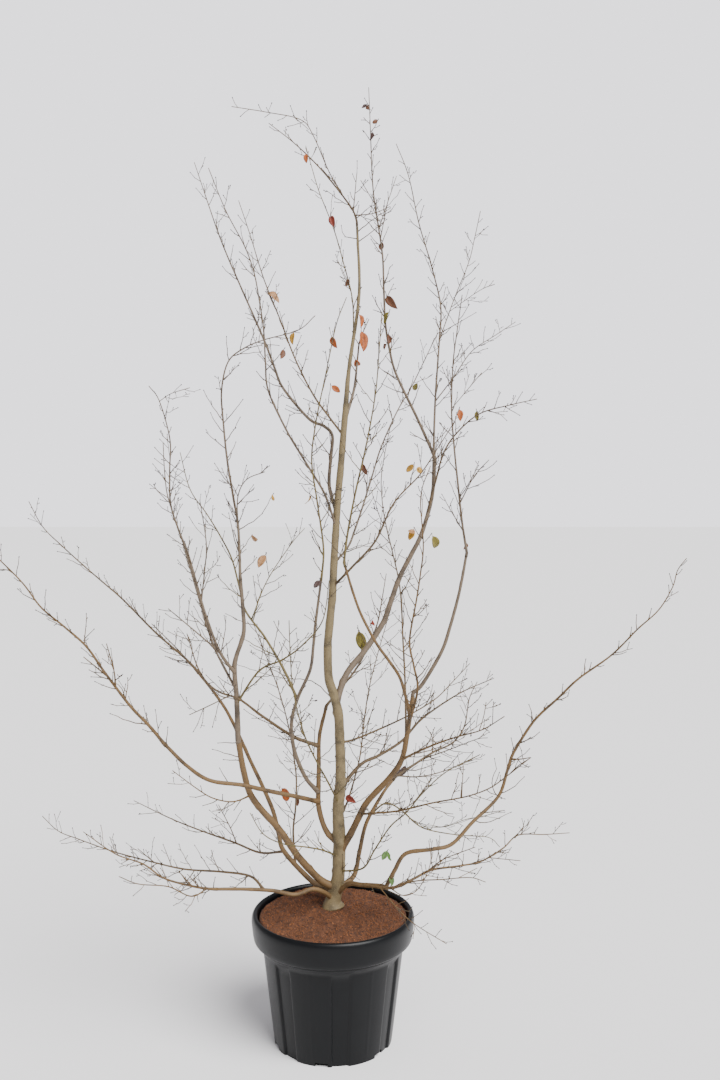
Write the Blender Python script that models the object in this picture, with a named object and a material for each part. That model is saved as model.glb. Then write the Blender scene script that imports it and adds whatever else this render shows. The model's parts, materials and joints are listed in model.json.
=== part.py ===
"""Bare multi-stemmed ironwood in a round fluted nursery pot.

Metres, +Z up, origin at the centre of the pot's underside, +Y away from the front.
The tree is a leading trunk, the boughs that spring low from it, and the sprays of
twigs that the boughs end in. Each row below names one limb and the few places its
centre line passes through; the lines, tubes, feet and side twigs are worked out from them.
"""

import math
import random
from typing import NamedTuple

import bmesh
import bpy
import numpy as np
from mathutils import Matrix, Vector

CM = 0.01
MM = 0.001
GAP = 0.3 * MM

# Pot
POT_HEIGHT = 0.394
POT_RIM_RADIUS = 0.2465
POT_BASE_RADIUS = 0.179
POT_BODY_RADIUS = 0.212
POT_BODY_TOP = 0.283
POT_BAND_RADIUS = 0.225
POT_LIP_UNDER = 0.316
POT_LIP_WIDTH = 0.019
POT_WALL = 0.0035
POT_FLOOR = 0.005
FLUTES = 7
FLUTE_HALF_ANGLE = math.radians(8.5)
FLUTE_SLOPE_ANGLE = math.radians(1.6)
FLUTE_FIRST_ANGLE = math.radians(-82.2)
FLUTE_DEPTH = 0.006
PANEL_STEPS = 3
NOTCHES = 6
NOTCH_FIRST_ANGLE = math.radians(-99.6)
NOTCH_WIDTH = 0.038
NOTCH_HEIGHT = 0.011

# Soil
SOIL_EDGE_DROP = 0.014
SOIL_CENTRE_HEIGHT = 0.405
SOIL_FLAT_RADIUS = 0.036
SOIL_MOUND_PLACE = Vector((-0.05, 0.10))
SOIL_MOUND_RADIUS = 0.13
SOIL_MOUND_HEIGHT = 0.026
SOIL_ROUGHNESS = 0.004
SOIL_FADE = 0.03
SOIL_RINGS = 5
SOIL_SECTORS = 26

# The front outline is set out on the upright plane through the trunk, as it is
# seen from this place, and each point then slides along its sight line.
EYE = Vector((0.082, -3.314, 1.732))

# Trunk: across, up and back (cm), and its thickness (mm) at heights (cm)
TRUNK_LINE = (
    (0, 40.5, 0), (0, 42.5, 0), (1.6, 50, 0), (1.9, 62, 0), (1.6, 70, 0), (2.3, 82, 0), (1.6, 100, 0),
    (-1.2, 111, 0), (-1.5, 120, 0), (-0.2, 134, 1), (1.3, 160, 2), (3.2, 182, 2),
    (5, 203, 2), (7.9, 224, 2), (7.3, 244, 2),
)
TRUNK_THICKNESS = (
    (40.5, 52), (43, 43), (47, 40), (65, 37), (80, 31), (103, 28), (112, 26), (150, 22),
    (188, 19), (200, 12), (225, 9), (245, 7),
)
TRUNK_SIDES = 12
BOUGH_SIDES = 8
RING_STEP = 8 * CM
STEM_STEP = 10 * CM

# Twigs
TWIG_SPACING = 10 * CM
TWIG_ANGLE = math.radians(48)
TWIG_LIFT = 0.5
TWIG_POINTS = 4
TWIG_TIP = 2.2 * MM
TWIG_SHARE = 0.62
TWIG_CLEAR = 6 * MM
SAMPLE_STEP = 6 * MM
STEM_TIP_BARE = 0.05
SPRAY_SEED = 20

# Colours
POT_COLOUR = (0.016, 0.019, 0.024)
SOIL_COLOUR = (0.16, 0.065, 0.026)
TRUNK_COLOUR = (0.30, 0.25, 0.15)
BOUGH_COLOUR = (0.31, 0.21, 0.12)
TWIG_COLOUR = (0.22, 0.16, 0.11)
BARK_ROUGHNESS = 0.8

TIP = None


class Limb(NamedTuple):
    """One tapering limb: thickness at foot and tip in mm, places in cm."""
    name: str
    parent: str
    foot: tuple
    thickness: tuple
    through: tuple


class Spray(NamedTuple):
    """One mass of bare twigs: a stem, the side stems that leave it, and its twigs' length in cm."""
    name: str
    parent: str
    foot: tuple
    thickness: tuple
    twig_length: float
    through: tuple
    side_stems: tuple = ()


BOUGHS = (
    Limb("bough_left_low", "trunk", (0.3, 46.5, 0), (23, 17),
         ((-4, 49, -1), (-10, 55.5, -3), (-17, 65.5, -5), (-25, 75.5, -7), (-28.3, 91, -9))),
    Limb("bough_left_high", "bough_left_low", TIP, (17, 10),
         ((-28.8, 105, -10), (-29.3, 115, -9), (-26.6, 124, -8), (-27.4, 140, -8))),
    Limb("bough_left_second", "trunk", (0, 44.5, 0), (17, 8),
         ((-4, 46.6, 3), (-8.5, 50.5, 5), (-15, 58, 5), (-18, 70, 6), (-25, 86, 4), (-32, 101, 1),
          (-40, 112, 0))),
    Limb("bough_centre_left", "trunk", (1.8, 60, 0), (18, 10),
         ((-2, 64, 1), (-4.2, 71, 2), (-4.2, 84, 3), (-4, 93, 4), (-2.2, 101, 5))),
    Limb("bough_left_wide", "bough_centre_left", (-4.2, 73, 2), (14, 10),
         ((-10, 74.3, -3), (-18, 76, -7), (-27, 78, -12), (-37, 79.5, -16), (-44, 84, -19),
          (-50, 90, -21))),
    Limb("bough_inner_left", "bough_centre_left", (-4.2, 76, 3), (13, 7),
         ((-8.3, 80.5, 0), (-11.6, 89, -2), (-12.4, 97, -4), (-10.5, 104.5, -6), (-6.8, 113, -8),
          (-5, 128, -11), (-3.4, 140, -13))),
    Limb("bough_left_skirt", "trunk", (0, 43, 0), (15, 9),
         ((-3.2, 45.2, -4), (-6.5, 46, -6), (-11.5, 44.3, -8), (-18, 45.5, -10), (-26, 46, -12),
          (-35, 46, -14))),
    Limb("bough_right_main", "trunk", (1.9, 57, 0), (22, 13),
         ((5.5, 63.5, -1), (10.7, 73.3, -4), (17.4, 80.7, -6), (20.8, 86, -7), (22.4, 94, -8),
          (24, 105, -8))),
    Limb("bough_right_outer", "bough_right_main", TIP, (12, 8),
         ((27, 109, -8), (32.5, 118.5, -8), (37.2, 134, -8), (39.7, 147, -8))),
    Limb("bough_right_front", "bough_right_main", (23.2, 99.5, -8), (10, 7),
         ((20, 111, -13), (13.6, 120.3, -17), (8, 131, -20), (3.8, 144, -22))),
    Limb("bough_grey_right", "trunk", (1.2, 103, 0), (20, 11),
         ((4.2, 112, 3), (9.7, 119, 6), (15, 127.2, 8), (20, 141, 10), (26.5, 154, 11), (29.5, 165, 12),
          (30.3, 175, 12))),
    Limb("bough_right_second", "trunk", (0.5, 46.5, 0), (16, 9),
         ((6.2, 50, 4), (8.1, 58, 6), (10.2, 66.7, 7), (15, 75.4, 9), (18, 79.5, 11))),
    Limb("bough_right_low", "trunk", (0, 43.5, 0), (16, 13),
         ((4.5, 47.5, -3), (9, 47.3, -7), (15, 47, -10))),
    Limb("bough_arch", "bough_right_low", TIP, (13, 9),
         ((18.5, 51.5, -12), (22, 57, -13), (30, 58.3, -14), (36, 60, -13), (42, 66.5, -11),
          (49.8, 74.5, -8), (52.7, 83, -8))),
)

SPRAYS = (
    Spray("spray_left_arch", "bough_left_high", TIP, (9, 2.6), 13,
          ((-28, 156, -6), (-31, 175, -4), (-32.6, 196, -3), (-30.6, 204.6, -3), (-25.8, 208.6, -3.5),
           (-20, 211, -4), (-10, 213.8, -6), (-5, 218, -7)),
          (((-28, 157, -6), (-28, 165, -8), (-25.4, 170, -10), (-20, 172.3, -12)),)),
    Spray("spray_left_outer", "bough_left_high", (-29.2, 112, -9), (10, 2.6), 13,
          ((-34, 119, -12), (-38, 130, -14), (-43, 148, -14), (-48, 163, -14), (-48, 182, -16),
           (-51, 193.2, -19), (-54, 197.5, -20)),
          (((-51, 193, -19), (-47.5, 195.3, -17), (-42, 197, -14)),
           ((-39, 134, -14), (-37.5, 151, -18), (-39.3, 164, -22)),
           ((-33, 117.5, -12), (-39, 123, -16), (-49, 131.5, -20)))),
    Spray("spray_left_pair", "bough_left_high", (-29, 107, -10), (8, 2.6), 12,
          ((-35, 119, -4), (-40.5, 137, -3), (-44.6, 152, 0), (-49, 166, 3), (-50, 181, 7))),
    Spray("spray_long_left", "bough_left_second", TIP, (8, 2.4), 10,
          ((-44, 116.5, 2), (-53, 124.5, 5), (-62.5, 134.3, 9), (-73, 143.5, 13), (-86, 156, 17),
           (-90, 163.5, 20)),
          (((-41.5, 114, 1), (-47, 120, 7), (-54, 127, 11)),
           ((-42, 115, 2), (-42, 120, -2), (-43.5, 124, -4)))),
    Spray("spray_wide_left", "bough_left_wide", TIP, (10, 2.6), 10,
          ((-55, 96, -23), (-61, 102.5, -26), (-68, 112, -29), (-73.5, 120, -32), (-80, 126, -34),
           (-87, 132, -37), (-93, 140, -39), (-105, 152, -44)),
          (((-65, 108, -28), (-65.5, 113, -31), (-67.6, 121, -34)),
           ((-67, 111, -29), (-74.5, 117, -27)))),
    Spray("spray_low_left", "bough_left_second", (-15, 57.5, 5), (8, 2.4), 11,
          ((-22, 57.3, 9), (-30, 60.5, 13), (-41, 64.5, 18), (-50, 68.3, 23), (-60, 73.3, 28)),
          (((-29, 60, 13), (-31, 65, 10), (-34.5, 72, 7)),)),
    Spray("spray_left_hook", "bough_left_low", (-24.6, 75, -7), (5, 2.2), 9,
          ((-30, 73, -13), (-36, 74, -19), (-41, 77, -25), (-48.3, 82.5, -33))),
    Spray("spray_skirt_upper", "bough_left_skirt", (-21, 45.8, -10), (8, 2.4), 12,
          ((-25, 50, -6), (-34, 51.4, 0), (-45, 52.2, 5), (-55, 54.5, 9), (-66, 57.5, 13),
           (-77, 61.5, 17), (-83, 64, 20), (-87.7, 68.5, 22)),
          (((-54, 54, 9), (-59, 58.5, 5)),)),
    Spray("spray_skirt_lower", "bough_left_skirt", TIP, (8, 2.4), 10,
          ((-42, 46.8, -16), (-51, 49.3, -19), (-57.5, 53.8, -21), (-66, 57, -23), (-75.4, 63.7, -26)),
          (((-38, 46.2, -15), (-43, 43.8, -22), (-50, 46.8, -29), (-59, 47.6, -36), (-64.8, 49.9, -40)),
           ((-43, 47, -16), (-46.5, 51.3, -11)))),
    Spray("spray_left_side", "bough_centre_left", (-4, 90, 4), (12, 2.6), 14,
          ((-12, 93, 2), (-21, 99, -6), (-28, 104.2, -14), (-35, 107, -17), (-40, 113, -19),
           (-43.5, 124, -22)),
          (((-31, 105.3, -15), (-37, 102.3, -19), (-43, 99.5, -23)),)),
    Spray("spray_left_olive", "bough_inner_left", (-10.7, 104, -6), (9, 2.4), 13,
          ((-14.5, 113, -1), (-20.3, 123, 2), (-26, 131, 5), (-30, 146.6, 8), (-37.4, 160, 12),
           (-42.2, 167.2, 14), (-45, 178, 17)),
          (((-24, 128.5, 4), (-19.6, 139.7, 8), (-12.4, 150.7, 12), (-8.3, 155.5, 15)),)),
    Spray("spray_left_brace", "bough_left_high", (-28.8, 103, -10), (7, 2.4), 12,
          ((-22, 112.8, -15), (-15, 116.2, -18), (-9, 120.6, -21), (-3, 128, -25), (-1, 140, -29))),
    Spray("spray_centre_back", "bough_centre_left", TIP, (9, 2.4), 16,
          ((2, 107, 9), (8, 115, 15), (13, 126, 21), (16, 142, 28))),
    Spray("spray_inner_tall", "bough_inner_left", TIP, (6.5, 2.4), 11,
          ((-2.7, 150, -14), (-4.6, 164, -16), (-6.1, 175.7, -18), (-4.8, 187, -20), (-1.9, 201, -23),
           (1.2, 215.3, -25), (4.2, 223.3, -27))),
    Spray("spray_right_outer", "bough_right_outer", TIP, (7.5, 2.4), 13,
          ((38.4, 158, -8), (36.7, 173, -10), (35.2, 190, -14), (35.5, 203.5, -18), (38.1, 224, -22)),
          (((37.8, 163, -9), (42, 171, -13), (46.3, 175.8, -16)),
           ((35.2, 191, -14), (44, 201.4, -10)))),
    Spray("spray_right_middle", "bough_right_main", (22.5, 95.5, -8), (8, 2.4), 14,
          ((25.4, 107, -14), (23, 122, -17), (25, 134, -20), (27, 150.4, -25), (26.2, 165, -29),
           (29, 174, -32))),
    Spray("spray_right_inner", "bough_right_main", (21.9, 92, -8), (7, 2.4), 14,
          ((21.8, 106, -2), (21, 122.7, 6), (19.8, 139.7, 16), (15.8, 157, 22), (14.5, 170.6, 26),
           (17.2, 186, 30))),
    Spray("spray_right_front", "bough_right_front", TIP, (7, 2.4), 14,
          ((4.5, 154, -23), (7, 167, -24), (10, 180, -26), (12.7, 195, -28), (14.6, 219, -30))),
    Spray("spray_top", "bough_grey_right", TIP, (10, 2.2), 10,
          ((28.3, 181, 11), (24.6, 189, 9), (18.8, 201, 7), (15.6, 216, 5), (14.8, 235, 4),
           (12.1, 253.4, 4), (11.3, 269, 4), (10.7, 283.4, 4)),
          (((13.6, 243, 4), (18.8, 258.2, 9)),
           ((14.3, 240, 4), (16.5, 252, -3)),
           ((12.6, 250, 4), (8.4, 257, -2)))),
    Spray("spray_right_straight", "bough_grey_right", (30, 169, 12), (8, 2.4), 10,
          ((30, 182, 17), (30.5, 196, 19), (31.5, 211, 22), (31.8, 221, 23), (29, 232.7, 24),
           (25.3, 245, 24), (22.3, 258.3, 24), (18.7, 267.4, 24)),
          (((30.4, 193, 19), (35.7, 200, 23), (41, 207.6, 28), (47.9, 212.3, 33), (53.8, 216.2, 37)),
           ((31.4, 211, 22), (36.1, 223.7, 26), (40, 233.5, 28), (43.3, 248.2, 31)),
           ((34.6, 219.5, 24), (43.2, 225.3, 20), (47.6, 227.1, 17)))),
    Spray("spray_far_right_up", "bough_grey_right", (28.4, 160, 12), (7, 2.4), 11,
          ((33, 178, 8), (37, 184, 6), (43.5, 189.4, 3), (52.6, 192, -2), (60.3, 193.7, -6))),
    Spray("spray_trunk_right", "trunk", (0.2, 138, 1), (8, 2.4), 13,
          ((6, 144.2, -3), (12.7, 151.7, -6), (18.2, 163, -6), (25.8, 171.3, -4), (31, 179, -3),
           (36, 187, -3))),
    Spray("spray_grey_purple", "trunk", (0.6, 145, 1.5), (7, 2.4), 13,
          ((4.6, 150, 6), (9.3, 163, 12), (14.6, 180, 18), (19.1, 190, 21), (23.2, 197, 25),
           (31, 213, 33))),
    Spray("spray_upper_left", "trunk", (0.9, 156, 2), (8, 2.4), 12,
          ((-2.2, 165.5, -3), (-6, 172, -6), (-13.5, 184.5, -12), (-18.8, 196, -15),
           (-20.1, 213.6, -18), (-22.8, 230.3, -20), (-25.5, 238, -22), (-31, 248.4, -24),
           (-35.9, 260.5, -26))),
    Spray("spray_upper_left_inner", "trunk", (3.3, 183, 2), (7, 2.4), 12,
          ((-1, 188.5, 4), (-5.6, 195, 7), (-10.7, 205, 10), (-15.6, 217.7, 13), (-20.1, 229, 16),
           (-23.8, 241, 18), (-27.2, 251.2, 20))),
    Spray("spray_upper_left_outer", "trunk", (1.2, 160, 2), (12, 2.4), 12,
          ((-0.9, 168, 5), (-0.4, 177, 7), (0, 183, 8), (-2.5, 185.8, 9), (-7, 188, 12),
           (-14.4, 196.8, 17), (-19.6, 210, 21), (-27, 227, 25), (-32.8, 240.8, 28), (-40, 262.1, 32))),
    Spray("spray_tip", "trunk", TIP, (6, 2.2), 8,
          ((5.4, 249.5, 3), (-2.4, 259.3, 6), (-10.1, 266.9, 10), (-18.3, 273.3, 15)),
          (((5.8, 248.6, 3), (-0.4, 258.6, -5), (-5.4, 269.8, -10), (-9.1, 274.3, -13),
            (-18.8, 276.4, -17), (-29, 278, -20)),
           ((6.4, 247.6, 3), (7.3, 259.3, 2)),
           ((6.8, 246.8, 3), (12, 247.5, -2), (17, 249.5, -5)))),
    Spray("spray_tip_inner", "trunk", (6.2, 212, 2), (4.5, 2.2), 10,
          ((5.9, 223, 6), (3.5, 232.7, 9), (0.6, 242.8, 12), (-3.7, 253.7, 15), (-7.6, 266.8, 18))),
    Spray("spray_right_fan", "bough_right_second", TIP, (9, 2.4), 13,
          ((24, 84, 15), (30, 88, 20), (36, 91, 25), (39.5, 96, 29), (41, 104.5, 33), (43.3, 109.5, 36)),
          (((19.5, 80.8, 12), (25, 80.6, 19), (31, 81.6, 26), (39, 84.5, 33), (44.3, 87.4, 38)),
           ((27, 86, 18), (34, 88.5, 14), (43, 92, 9), (46.5, 92.5, 6)))),
    Spray("spray_right_fan_front", "bough_right_main", (20.4, 86, -7), (8, 2.4), 13,
          ((26, 88.5, -14), (32, 91, -20), (38, 93, -26), (45, 95, -33), (51.5, 99, -39)),
          (((44, 94.7, -32), (45.3, 99, -35), (46, 103.3, -38)),)),
    Spray("spray_right_side", "trunk", (2.1, 77, 0), (12, 2.4), 14,
          ((8.5, 84.4, 4), (13.6, 87, 7), (20.8, 91.6, 10), (27, 98.5, 13), (38, 106, 19),
           (48.3, 110.6, 24))),
    Spray("spray_twin_top", "trunk", (3.8, 187, 2), (11, 2.6), 9,
          ((6.4, 196.5, 6), (7.5, 206, 8), (8.2, 211, 9), (10.8, 217, 12))),
    Spray("spray_right_dark", "trunk", (1.9, 91, 0), (7, 2.4), 14,
          ((7, 92.2, 0), (17, 96.5, 1), (24, 100, 3), (31, 104.5, 6), (41, 115, 12))),
    Spray("spray_far_right", "bough_arch", TIP, (9, 2.4), 8,
          ((54.4, 88, -8), (60.3, 97.5, -9), (67.5, 104.5, -10), (73.7, 110.5, -11), (83.3, 117.5, -12),
           (91, 125.3, -13), (97.3, 131.2, -13), (101.3, 138, -14), (102.7, 143, -14),
           (105.3, 146.6, -14)),
          (((53.7, 86, -8), (56.5, 86, -11), (59.4, 86.5, -14)),)),
    Spray("spray_right_low", "bough_right_low", (11.5, 47.1, -8.5), (9, 2.4), 11,
          ((16, 46.3, -6), (20, 46.9, -5.5), (25, 49.5, -4), (30, 52, 0), (39, 53.3, 6), (45, 54.7, 10),
           (51.5, 58.7, 14), (56, 62.7, 17), (64, 62.9, 21), (71.5, 63.4, 25)),
          (((47, 55.3, 11), (56.7, 54.8, 4)),
           ((55, 62, 16), (57.7, 65.5, 14)),
           ((28, 51, -2), (33, 55, -7), (43, 59, -18)))),
    Spray("spray_right_under", "bough_right_low", (8, 47.3, -6), (6, 2.2), 9,
          ((17, 46.6, -15), (25, 48.5, -22), (33, 49, -29), (41.5, 49.6, -35), (46.2, 48.2, -39)),
          (((14, 46.7, -12), (20, 39.5, -20), (25, 35, -25), (34.5, 29, -32)),
           ((17, 46.6, -15), (21.5, 44, -18), (26, 46.3, -19), (29.5, 54, -20), (29, 61, -21)),
           ((38, 49.4, -32), (43.6, 52.5, -30)))),
    Spray("spray_right_mid", "bough_right_main", (8.3, 69, -3), (7, 2.4), 12,
          ((12, 69.4, -9), (20, 70.2, -15), (30, 72.6, -23), (40, 74.5, -30), (47, 77, -35),
           (52, 80.5, -39), (59.3, 86.3, -44)),
          (((20.5, 70.4, -15), (24.5, 73, -20), (29.8, 80.3, -25)),
           ((39, 74.3, -29), (39.3, 84, -31)))),
    Spray("spray_right_cross", "bough_right_second", (11.5, 69.5, 8), (6, 2.2), 11,
          ((16, 72.5, 13), (20.5, 70.5, 16), (25, 66.3, 19), (29, 64.3, 21), (38, 62.7, 25),
           (47, 62, 29), (50.5, 59, 31)),
          (((27, 65, 20), (34, 65.3, 16), (40, 67.5, 13), (46, 68.7, 10), (51.5, 70.3, 7)),)),
    Spray("spray_right_thin", "trunk", (1.6, 51.5, 0), (6, 2.2), 10,
          ((9, 52.5, -9), (12.5, 58, -14), (17.3, 65.3, -20), (22, 69.5, -26), (27, 75.5, -32),
           (34, 82, -38), (44.3, 87.4, -45))),
    Spray("spray_left_front", "trunk", (1.9, 56, 0), (6, 2.2), 11,
          ((-3, 58, -6), (-8, 59, -11), (-15, 60, -18), (-21, 63, -24), (-25, 69.5, -29))),
    Spray("spray_back_right", "trunk", (1.8, 66.5, 0), (7, 2.4), 16,
          ((4, 72, 13), (8, 86, 27), (11, 108, 42), (18, 134, 55))),
    Spray("spray_back_left", "bough_left_second", (-11, 54, 4), (7, 2.4), 16,
          ((-12, 64, 15), (-11, 80, 29), (-15, 103, 44), (-24, 128, 58))),
    Spray("spray_front_left", "trunk", (1.7, 72.5, 0), (6, 2.4), 15,
          ((-2, 80, -12), (-8, 92, -24), (-12, 108, -36), (-13, 128, -46))),
)


def from_front(place):
    """The point in metres of a place given by where it shows from the front and how far back it is."""
    across, up, back = (value * CM for value in place)
    on_plane = Vector((across, 0.0, up))
    slide = (back - EYE.y) / -EYE.y
    return EYE + (on_plane - EYE) * slide


def smooth_line(points, step):
    """Points about step apart on a curve through all the given ones."""
    ends = [2 * points[0] - points[1], *points, 2 * points[-1] - points[-2]]
    line = [points[0]]
    for before, start, stop, after in zip(ends, ends[1:], ends[2:], ends[3:]):
        count = max(1, round((stop - start).length / step))
        for i in range(1, count + 1):
            t = i / count
            leave = (stop - before) * 0.5
            reach = (after - start) * 0.5
            line.append(
                start * (2 * t**3 - 3 * t**2 + 1) + leave * (t**3 - 2 * t**2 + t)
                + stop * (3 * t**2 - 2 * t**3) + reach * (t**3 - t**2))
    return line


def lengths_along(line):
    """How far along the line each of its points is, from 0 to 1."""
    sums = [0.0]
    for a, b in zip(line, line[1:]):
        sums.append(sums[-1] + (b - a).length)
    return [value / sums[-1] for value in sums]


def taper(line, foot, tip):
    """Radii along a line whose thickness falls evenly from foot to tip."""
    return [0.5 * (foot + (tip - foot) * t) for t in lengths_along(line)]


def nearest_on(line, place):
    """The point of a line that is nearest a place, and its index."""
    best = None
    for i, (a, b) in enumerate(zip(line, line[1:])):
        along = b - a
        t = min(1.0, max(0.0, (place - a).dot(along) / along.length_squared))
        point = a + along * t
        distance = (place - point).length
        if best is None or distance < best[0]:
            best = (distance, point, i)
    return best[1], best[2]


def ring_frames(line):
    """At each point of a line, two directions square to it, turned as little as possible."""
    frames = []
    side = None
    for i in range(len(line)):
        along = (line[min(i + 1, len(line) - 1)] - line[max(i - 1, 0)]).normalized()
        if side is None:
            side = along.cross(Vector((0.31, 0.95, 0.1))).normalized()
        side = (side - along * side.dot(along)).normalized()
        frames.append((side, along.cross(side)))
    return frames


def skin(name, rings):
    """A closed mesh of flat faces through rings of points, each end filled in."""
    mesh = bmesh.new()
    loops = [[mesh.verts.new(point) for point in ring] for ring in rings]
    for low, high in zip(loops, loops[1:]):
        for k in range(len(low)):
            n = (k + 1) % len(low)
            mesh.faces.new((low[k], low[n], high[n], high[k]))
    mesh.faces.new(list(reversed(loops[0])))
    mesh.faces.new(loops[-1])
    bmesh.ops.recalc_face_normals(mesh, faces=mesh.faces)
    bmesh.ops.triangulate(mesh, faces=mesh.faces)
    data = bpy.data.meshes.new(name)
    mesh.to_mesh(data)
    mesh.free()
    return data


def tube_mesh(name, line, radii, sides):
    """A closed tube of flat faces round a line."""
    turns = [2 * math.pi * k / sides for k in range(sides)]
    rings = []
    for centre, radius, (side, other) in zip(line, radii, ring_frames(line)):
        rings.append([centre + (side * math.cos(turn) + other * math.sin(turn)) * radius for turn in turns])
    return skin(name, rings)


def add_object(name, data, material):
    thing = bpy.data.objects.new(name, data)
    bpy.context.scene.collection.objects.link(thing)
    if material is not None:
        data.materials.append(material)
    return thing


def apply_modifiers(thing):
    """The object's mesh with its modifiers made real."""
    graph = bpy.context.evaluated_depsgraph_get()
    solid = bpy.data.meshes.new_from_object(thing.evaluated_get(graph))
    thing.modifiers.clear()
    thing.data = solid


def remove(things):
    for thing in things:
        bpy.data.objects.remove(thing, do_unlink=True)


def cut_away(thing, cutters):
    """The object less each cutter, which then goes."""
    for cutter in cutters:
        cut = thing.modifiers.new("cut", "BOOLEAN")
        cut.operation = "DIFFERENCE"
        cut.object = cutter
    apply_modifiers(thing)
    remove(cutters)


def join_all(thing, parts):
    """One Boolean union of the object and all the parts, which then go."""
    group = bpy.data.collections.new("parts of " + thing.name)
    bpy.context.scene.collection.children.link(group)
    for part in parts:
        bpy.context.scene.collection.objects.unlink(part)
        group.objects.link(part)
    union = thing.modifiers.new("join", "BOOLEAN")
    union.operation = "UNION"
    union.operand_type = "COLLECTION"
    union.collection = group
    apply_modifiers(thing)
    remove(parts)
    bpy.data.collections.remove(group)


def simple_material(name, colour, roughness):
    """A plain finish."""
    material = bpy.data.materials.new(name)
    material.use_nodes = True
    shader = material.node_tree.nodes["Principled BSDF"]
    shader.inputs["Base Color"].default_value = (*colour, 1.0)
    shader.inputs["Roughness"].default_value = roughness
    shader.inputs["Metallic"].default_value = 0.0
    return material


def flute_recess(angle):
    """How deep the pot's flutes are at an angle round it, from 0 on the panels to 1."""
    turn = 2 * math.pi / FLUTES
    off = abs((angle - FLUTE_FIRST_ANGLE + turn / 2) % turn - turn / 2)
    return min(1.0, max(0.0, (FLUTE_HALF_ANGLE - off) / FLUTE_SLOPE_ANGLE))


def pot_angles():
    """The angles round the pot that its flutes and panels need."""
    turn = 2 * math.pi / FLUTES
    inner = FLUTE_HALF_ANGLE - FLUTE_SLOPE_ANGLE
    angles = []
    for flute in range(FLUTES):
        middle = FLUTE_FIRST_ANGLE + flute * turn
        angles += [middle - FLUTE_HALF_ANGLE, middle - inner, middle + inner, middle + FLUTE_HALF_ANGLE]
        panel = turn - 2 * FLUTE_HALF_ANGLE
        for i in range(1, PANEL_STEPS):
            angles.append(middle + FLUTE_HALF_ANGLE + panel * i / PANEL_STEPS)
    return angles


def pot_profile():
    """The pot's section, up its outside and down its inside: radius, height and share of the flutes."""
    lip_inside = POT_RIM_RADIUS - POT_LIP_WIDTH
    inner_base = POT_BASE_RADIUS - FLUTE_DEPTH - POT_WALL
    return (
        (POT_BASE_RADIUS, 0.0, 1.0),
        (POT_BODY_RADIUS, POT_BODY_TOP, 1.0),
        (POT_BODY_RADIUS, POT_BODY_TOP + 0.002, 0.0),
        (POT_BAND_RADIUS - 0.004, POT_BODY_TOP + 0.017, 0.0),
        (POT_BAND_RADIUS, POT_LIP_UNDER - 0.003, 0.0),
        (POT_RIM_RADIUS - 0.010, POT_LIP_UNDER, 0.0),
        (POT_RIM_RADIUS - 0.002, POT_LIP_UNDER + 0.022, 0.0),
        (POT_RIM_RADIUS, POT_HEIGHT - 0.022, 0.0),
        (POT_RIM_RADIUS - 0.004, POT_HEIGHT - 0.006, 0.0),
        (POT_RIM_RADIUS - POT_LIP_WIDTH / 2, POT_HEIGHT, 0.0),
        (lip_inside, POT_HEIGHT - 0.006, 0.0),
        (POT_BODY_RADIUS - FLUTE_DEPTH - POT_WALL, POT_BODY_TOP, 0.0),
        (inner_base, POT_FLOOR, 0.0),
    )


def pot_inner_radius(height):
    """The radius of the pot's inside at a height, between its floor and its lip."""
    low_radius, low = pot_profile()[-1][:2]
    mid_radius, mid = pot_profile()[-2][:2]
    top_radius, top = pot_profile()[-3][:2]
    if height < mid:
        return low_radius + (mid_radius - low_radius) * (height - low) / (mid - low)
    return mid_radius + (top_radius - mid_radius) * (height - mid) / (top - mid)


def make_pot(material):
    """The fluted pot with its rolled lip and the drain notches round its foot."""
    rings = []
    for radius, height, fluted in pot_profile():
        ring = []
        for angle in pot_angles():
            r = radius - fluted * FLUTE_DEPTH * flute_recess(angle)
            ring.append((r * math.cos(angle), r * math.sin(angle), height))
        rings.append(ring)
    pot = add_object("pot", skin("pot", rings), material)
    cut_away(pot, [notch_cutter(i) for i in range(NOTCHES)])
    return pot


def notch_cutter(index):
    """A block that cuts one drain notch through the foot of the pot's wall."""
    angle = NOTCH_FIRST_ANGLE + index * 2 * math.pi / NOTCHES
    mesh = bmesh.new()
    bmesh.ops.create_cube(mesh, size=1.0)
    deep = POT_WALL + 3 * FLUTE_DEPTH
    scale = Matrix.Diagonal((deep, NOTCH_WIDTH, 2 * NOTCH_HEIGHT, 1.0))
    place = Matrix.Rotation(angle, 4, "Z") @ Matrix.Translation((POT_BASE_RADIUS, 0.0, 0.0))
    bmesh.ops.transform(mesh, matrix=place @ scale, verts=mesh.verts)
    data = bpy.data.meshes.new("notch")
    mesh.to_mesh(data)
    mesh.free()
    return add_object(f"notch_{index}", data, None)


def soil_height(x, y):
    """The height of the soil: level under the trunk, mounded behind it, and lower at the pot's wall."""
    edge = POT_HEIGHT - SOIL_EDGE_DROP
    away = math.hypot(x, y)
    reach = pot_inner_radius(edge)
    fall = max(0.0, (away - SOIL_FLAT_RADIUS) / (reach - SOIL_FLAT_RADIUS))
    base = SOIL_CENTRE_HEIGHT + (edge - SOIL_CENTRE_HEIGHT) * fall
    from_mound = math.hypot(x - SOIL_MOUND_PLACE.x, y - SOIL_MOUND_PLACE.y) / SOIL_MOUND_RADIUS
    mound = SOIL_MOUND_HEIGHT * max(0.0, 1 - from_mound**2) ** 2
    lumps = math.sin(61 * x + 2.1) * math.sin(47 * y - 0.7) + 0.6 * math.sin(113 * x - 83 * y)
    rim_fade = min(1.0, max(0.0, (reach - away) / SOIL_FADE))
    foot_fade = min(1.0, max(0.0, (away - SOIL_FLAT_RADIUS) / SOIL_FADE))
    return base + (mound + SOIL_ROUGHNESS * lumps * rim_fade) * foot_fade


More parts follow.
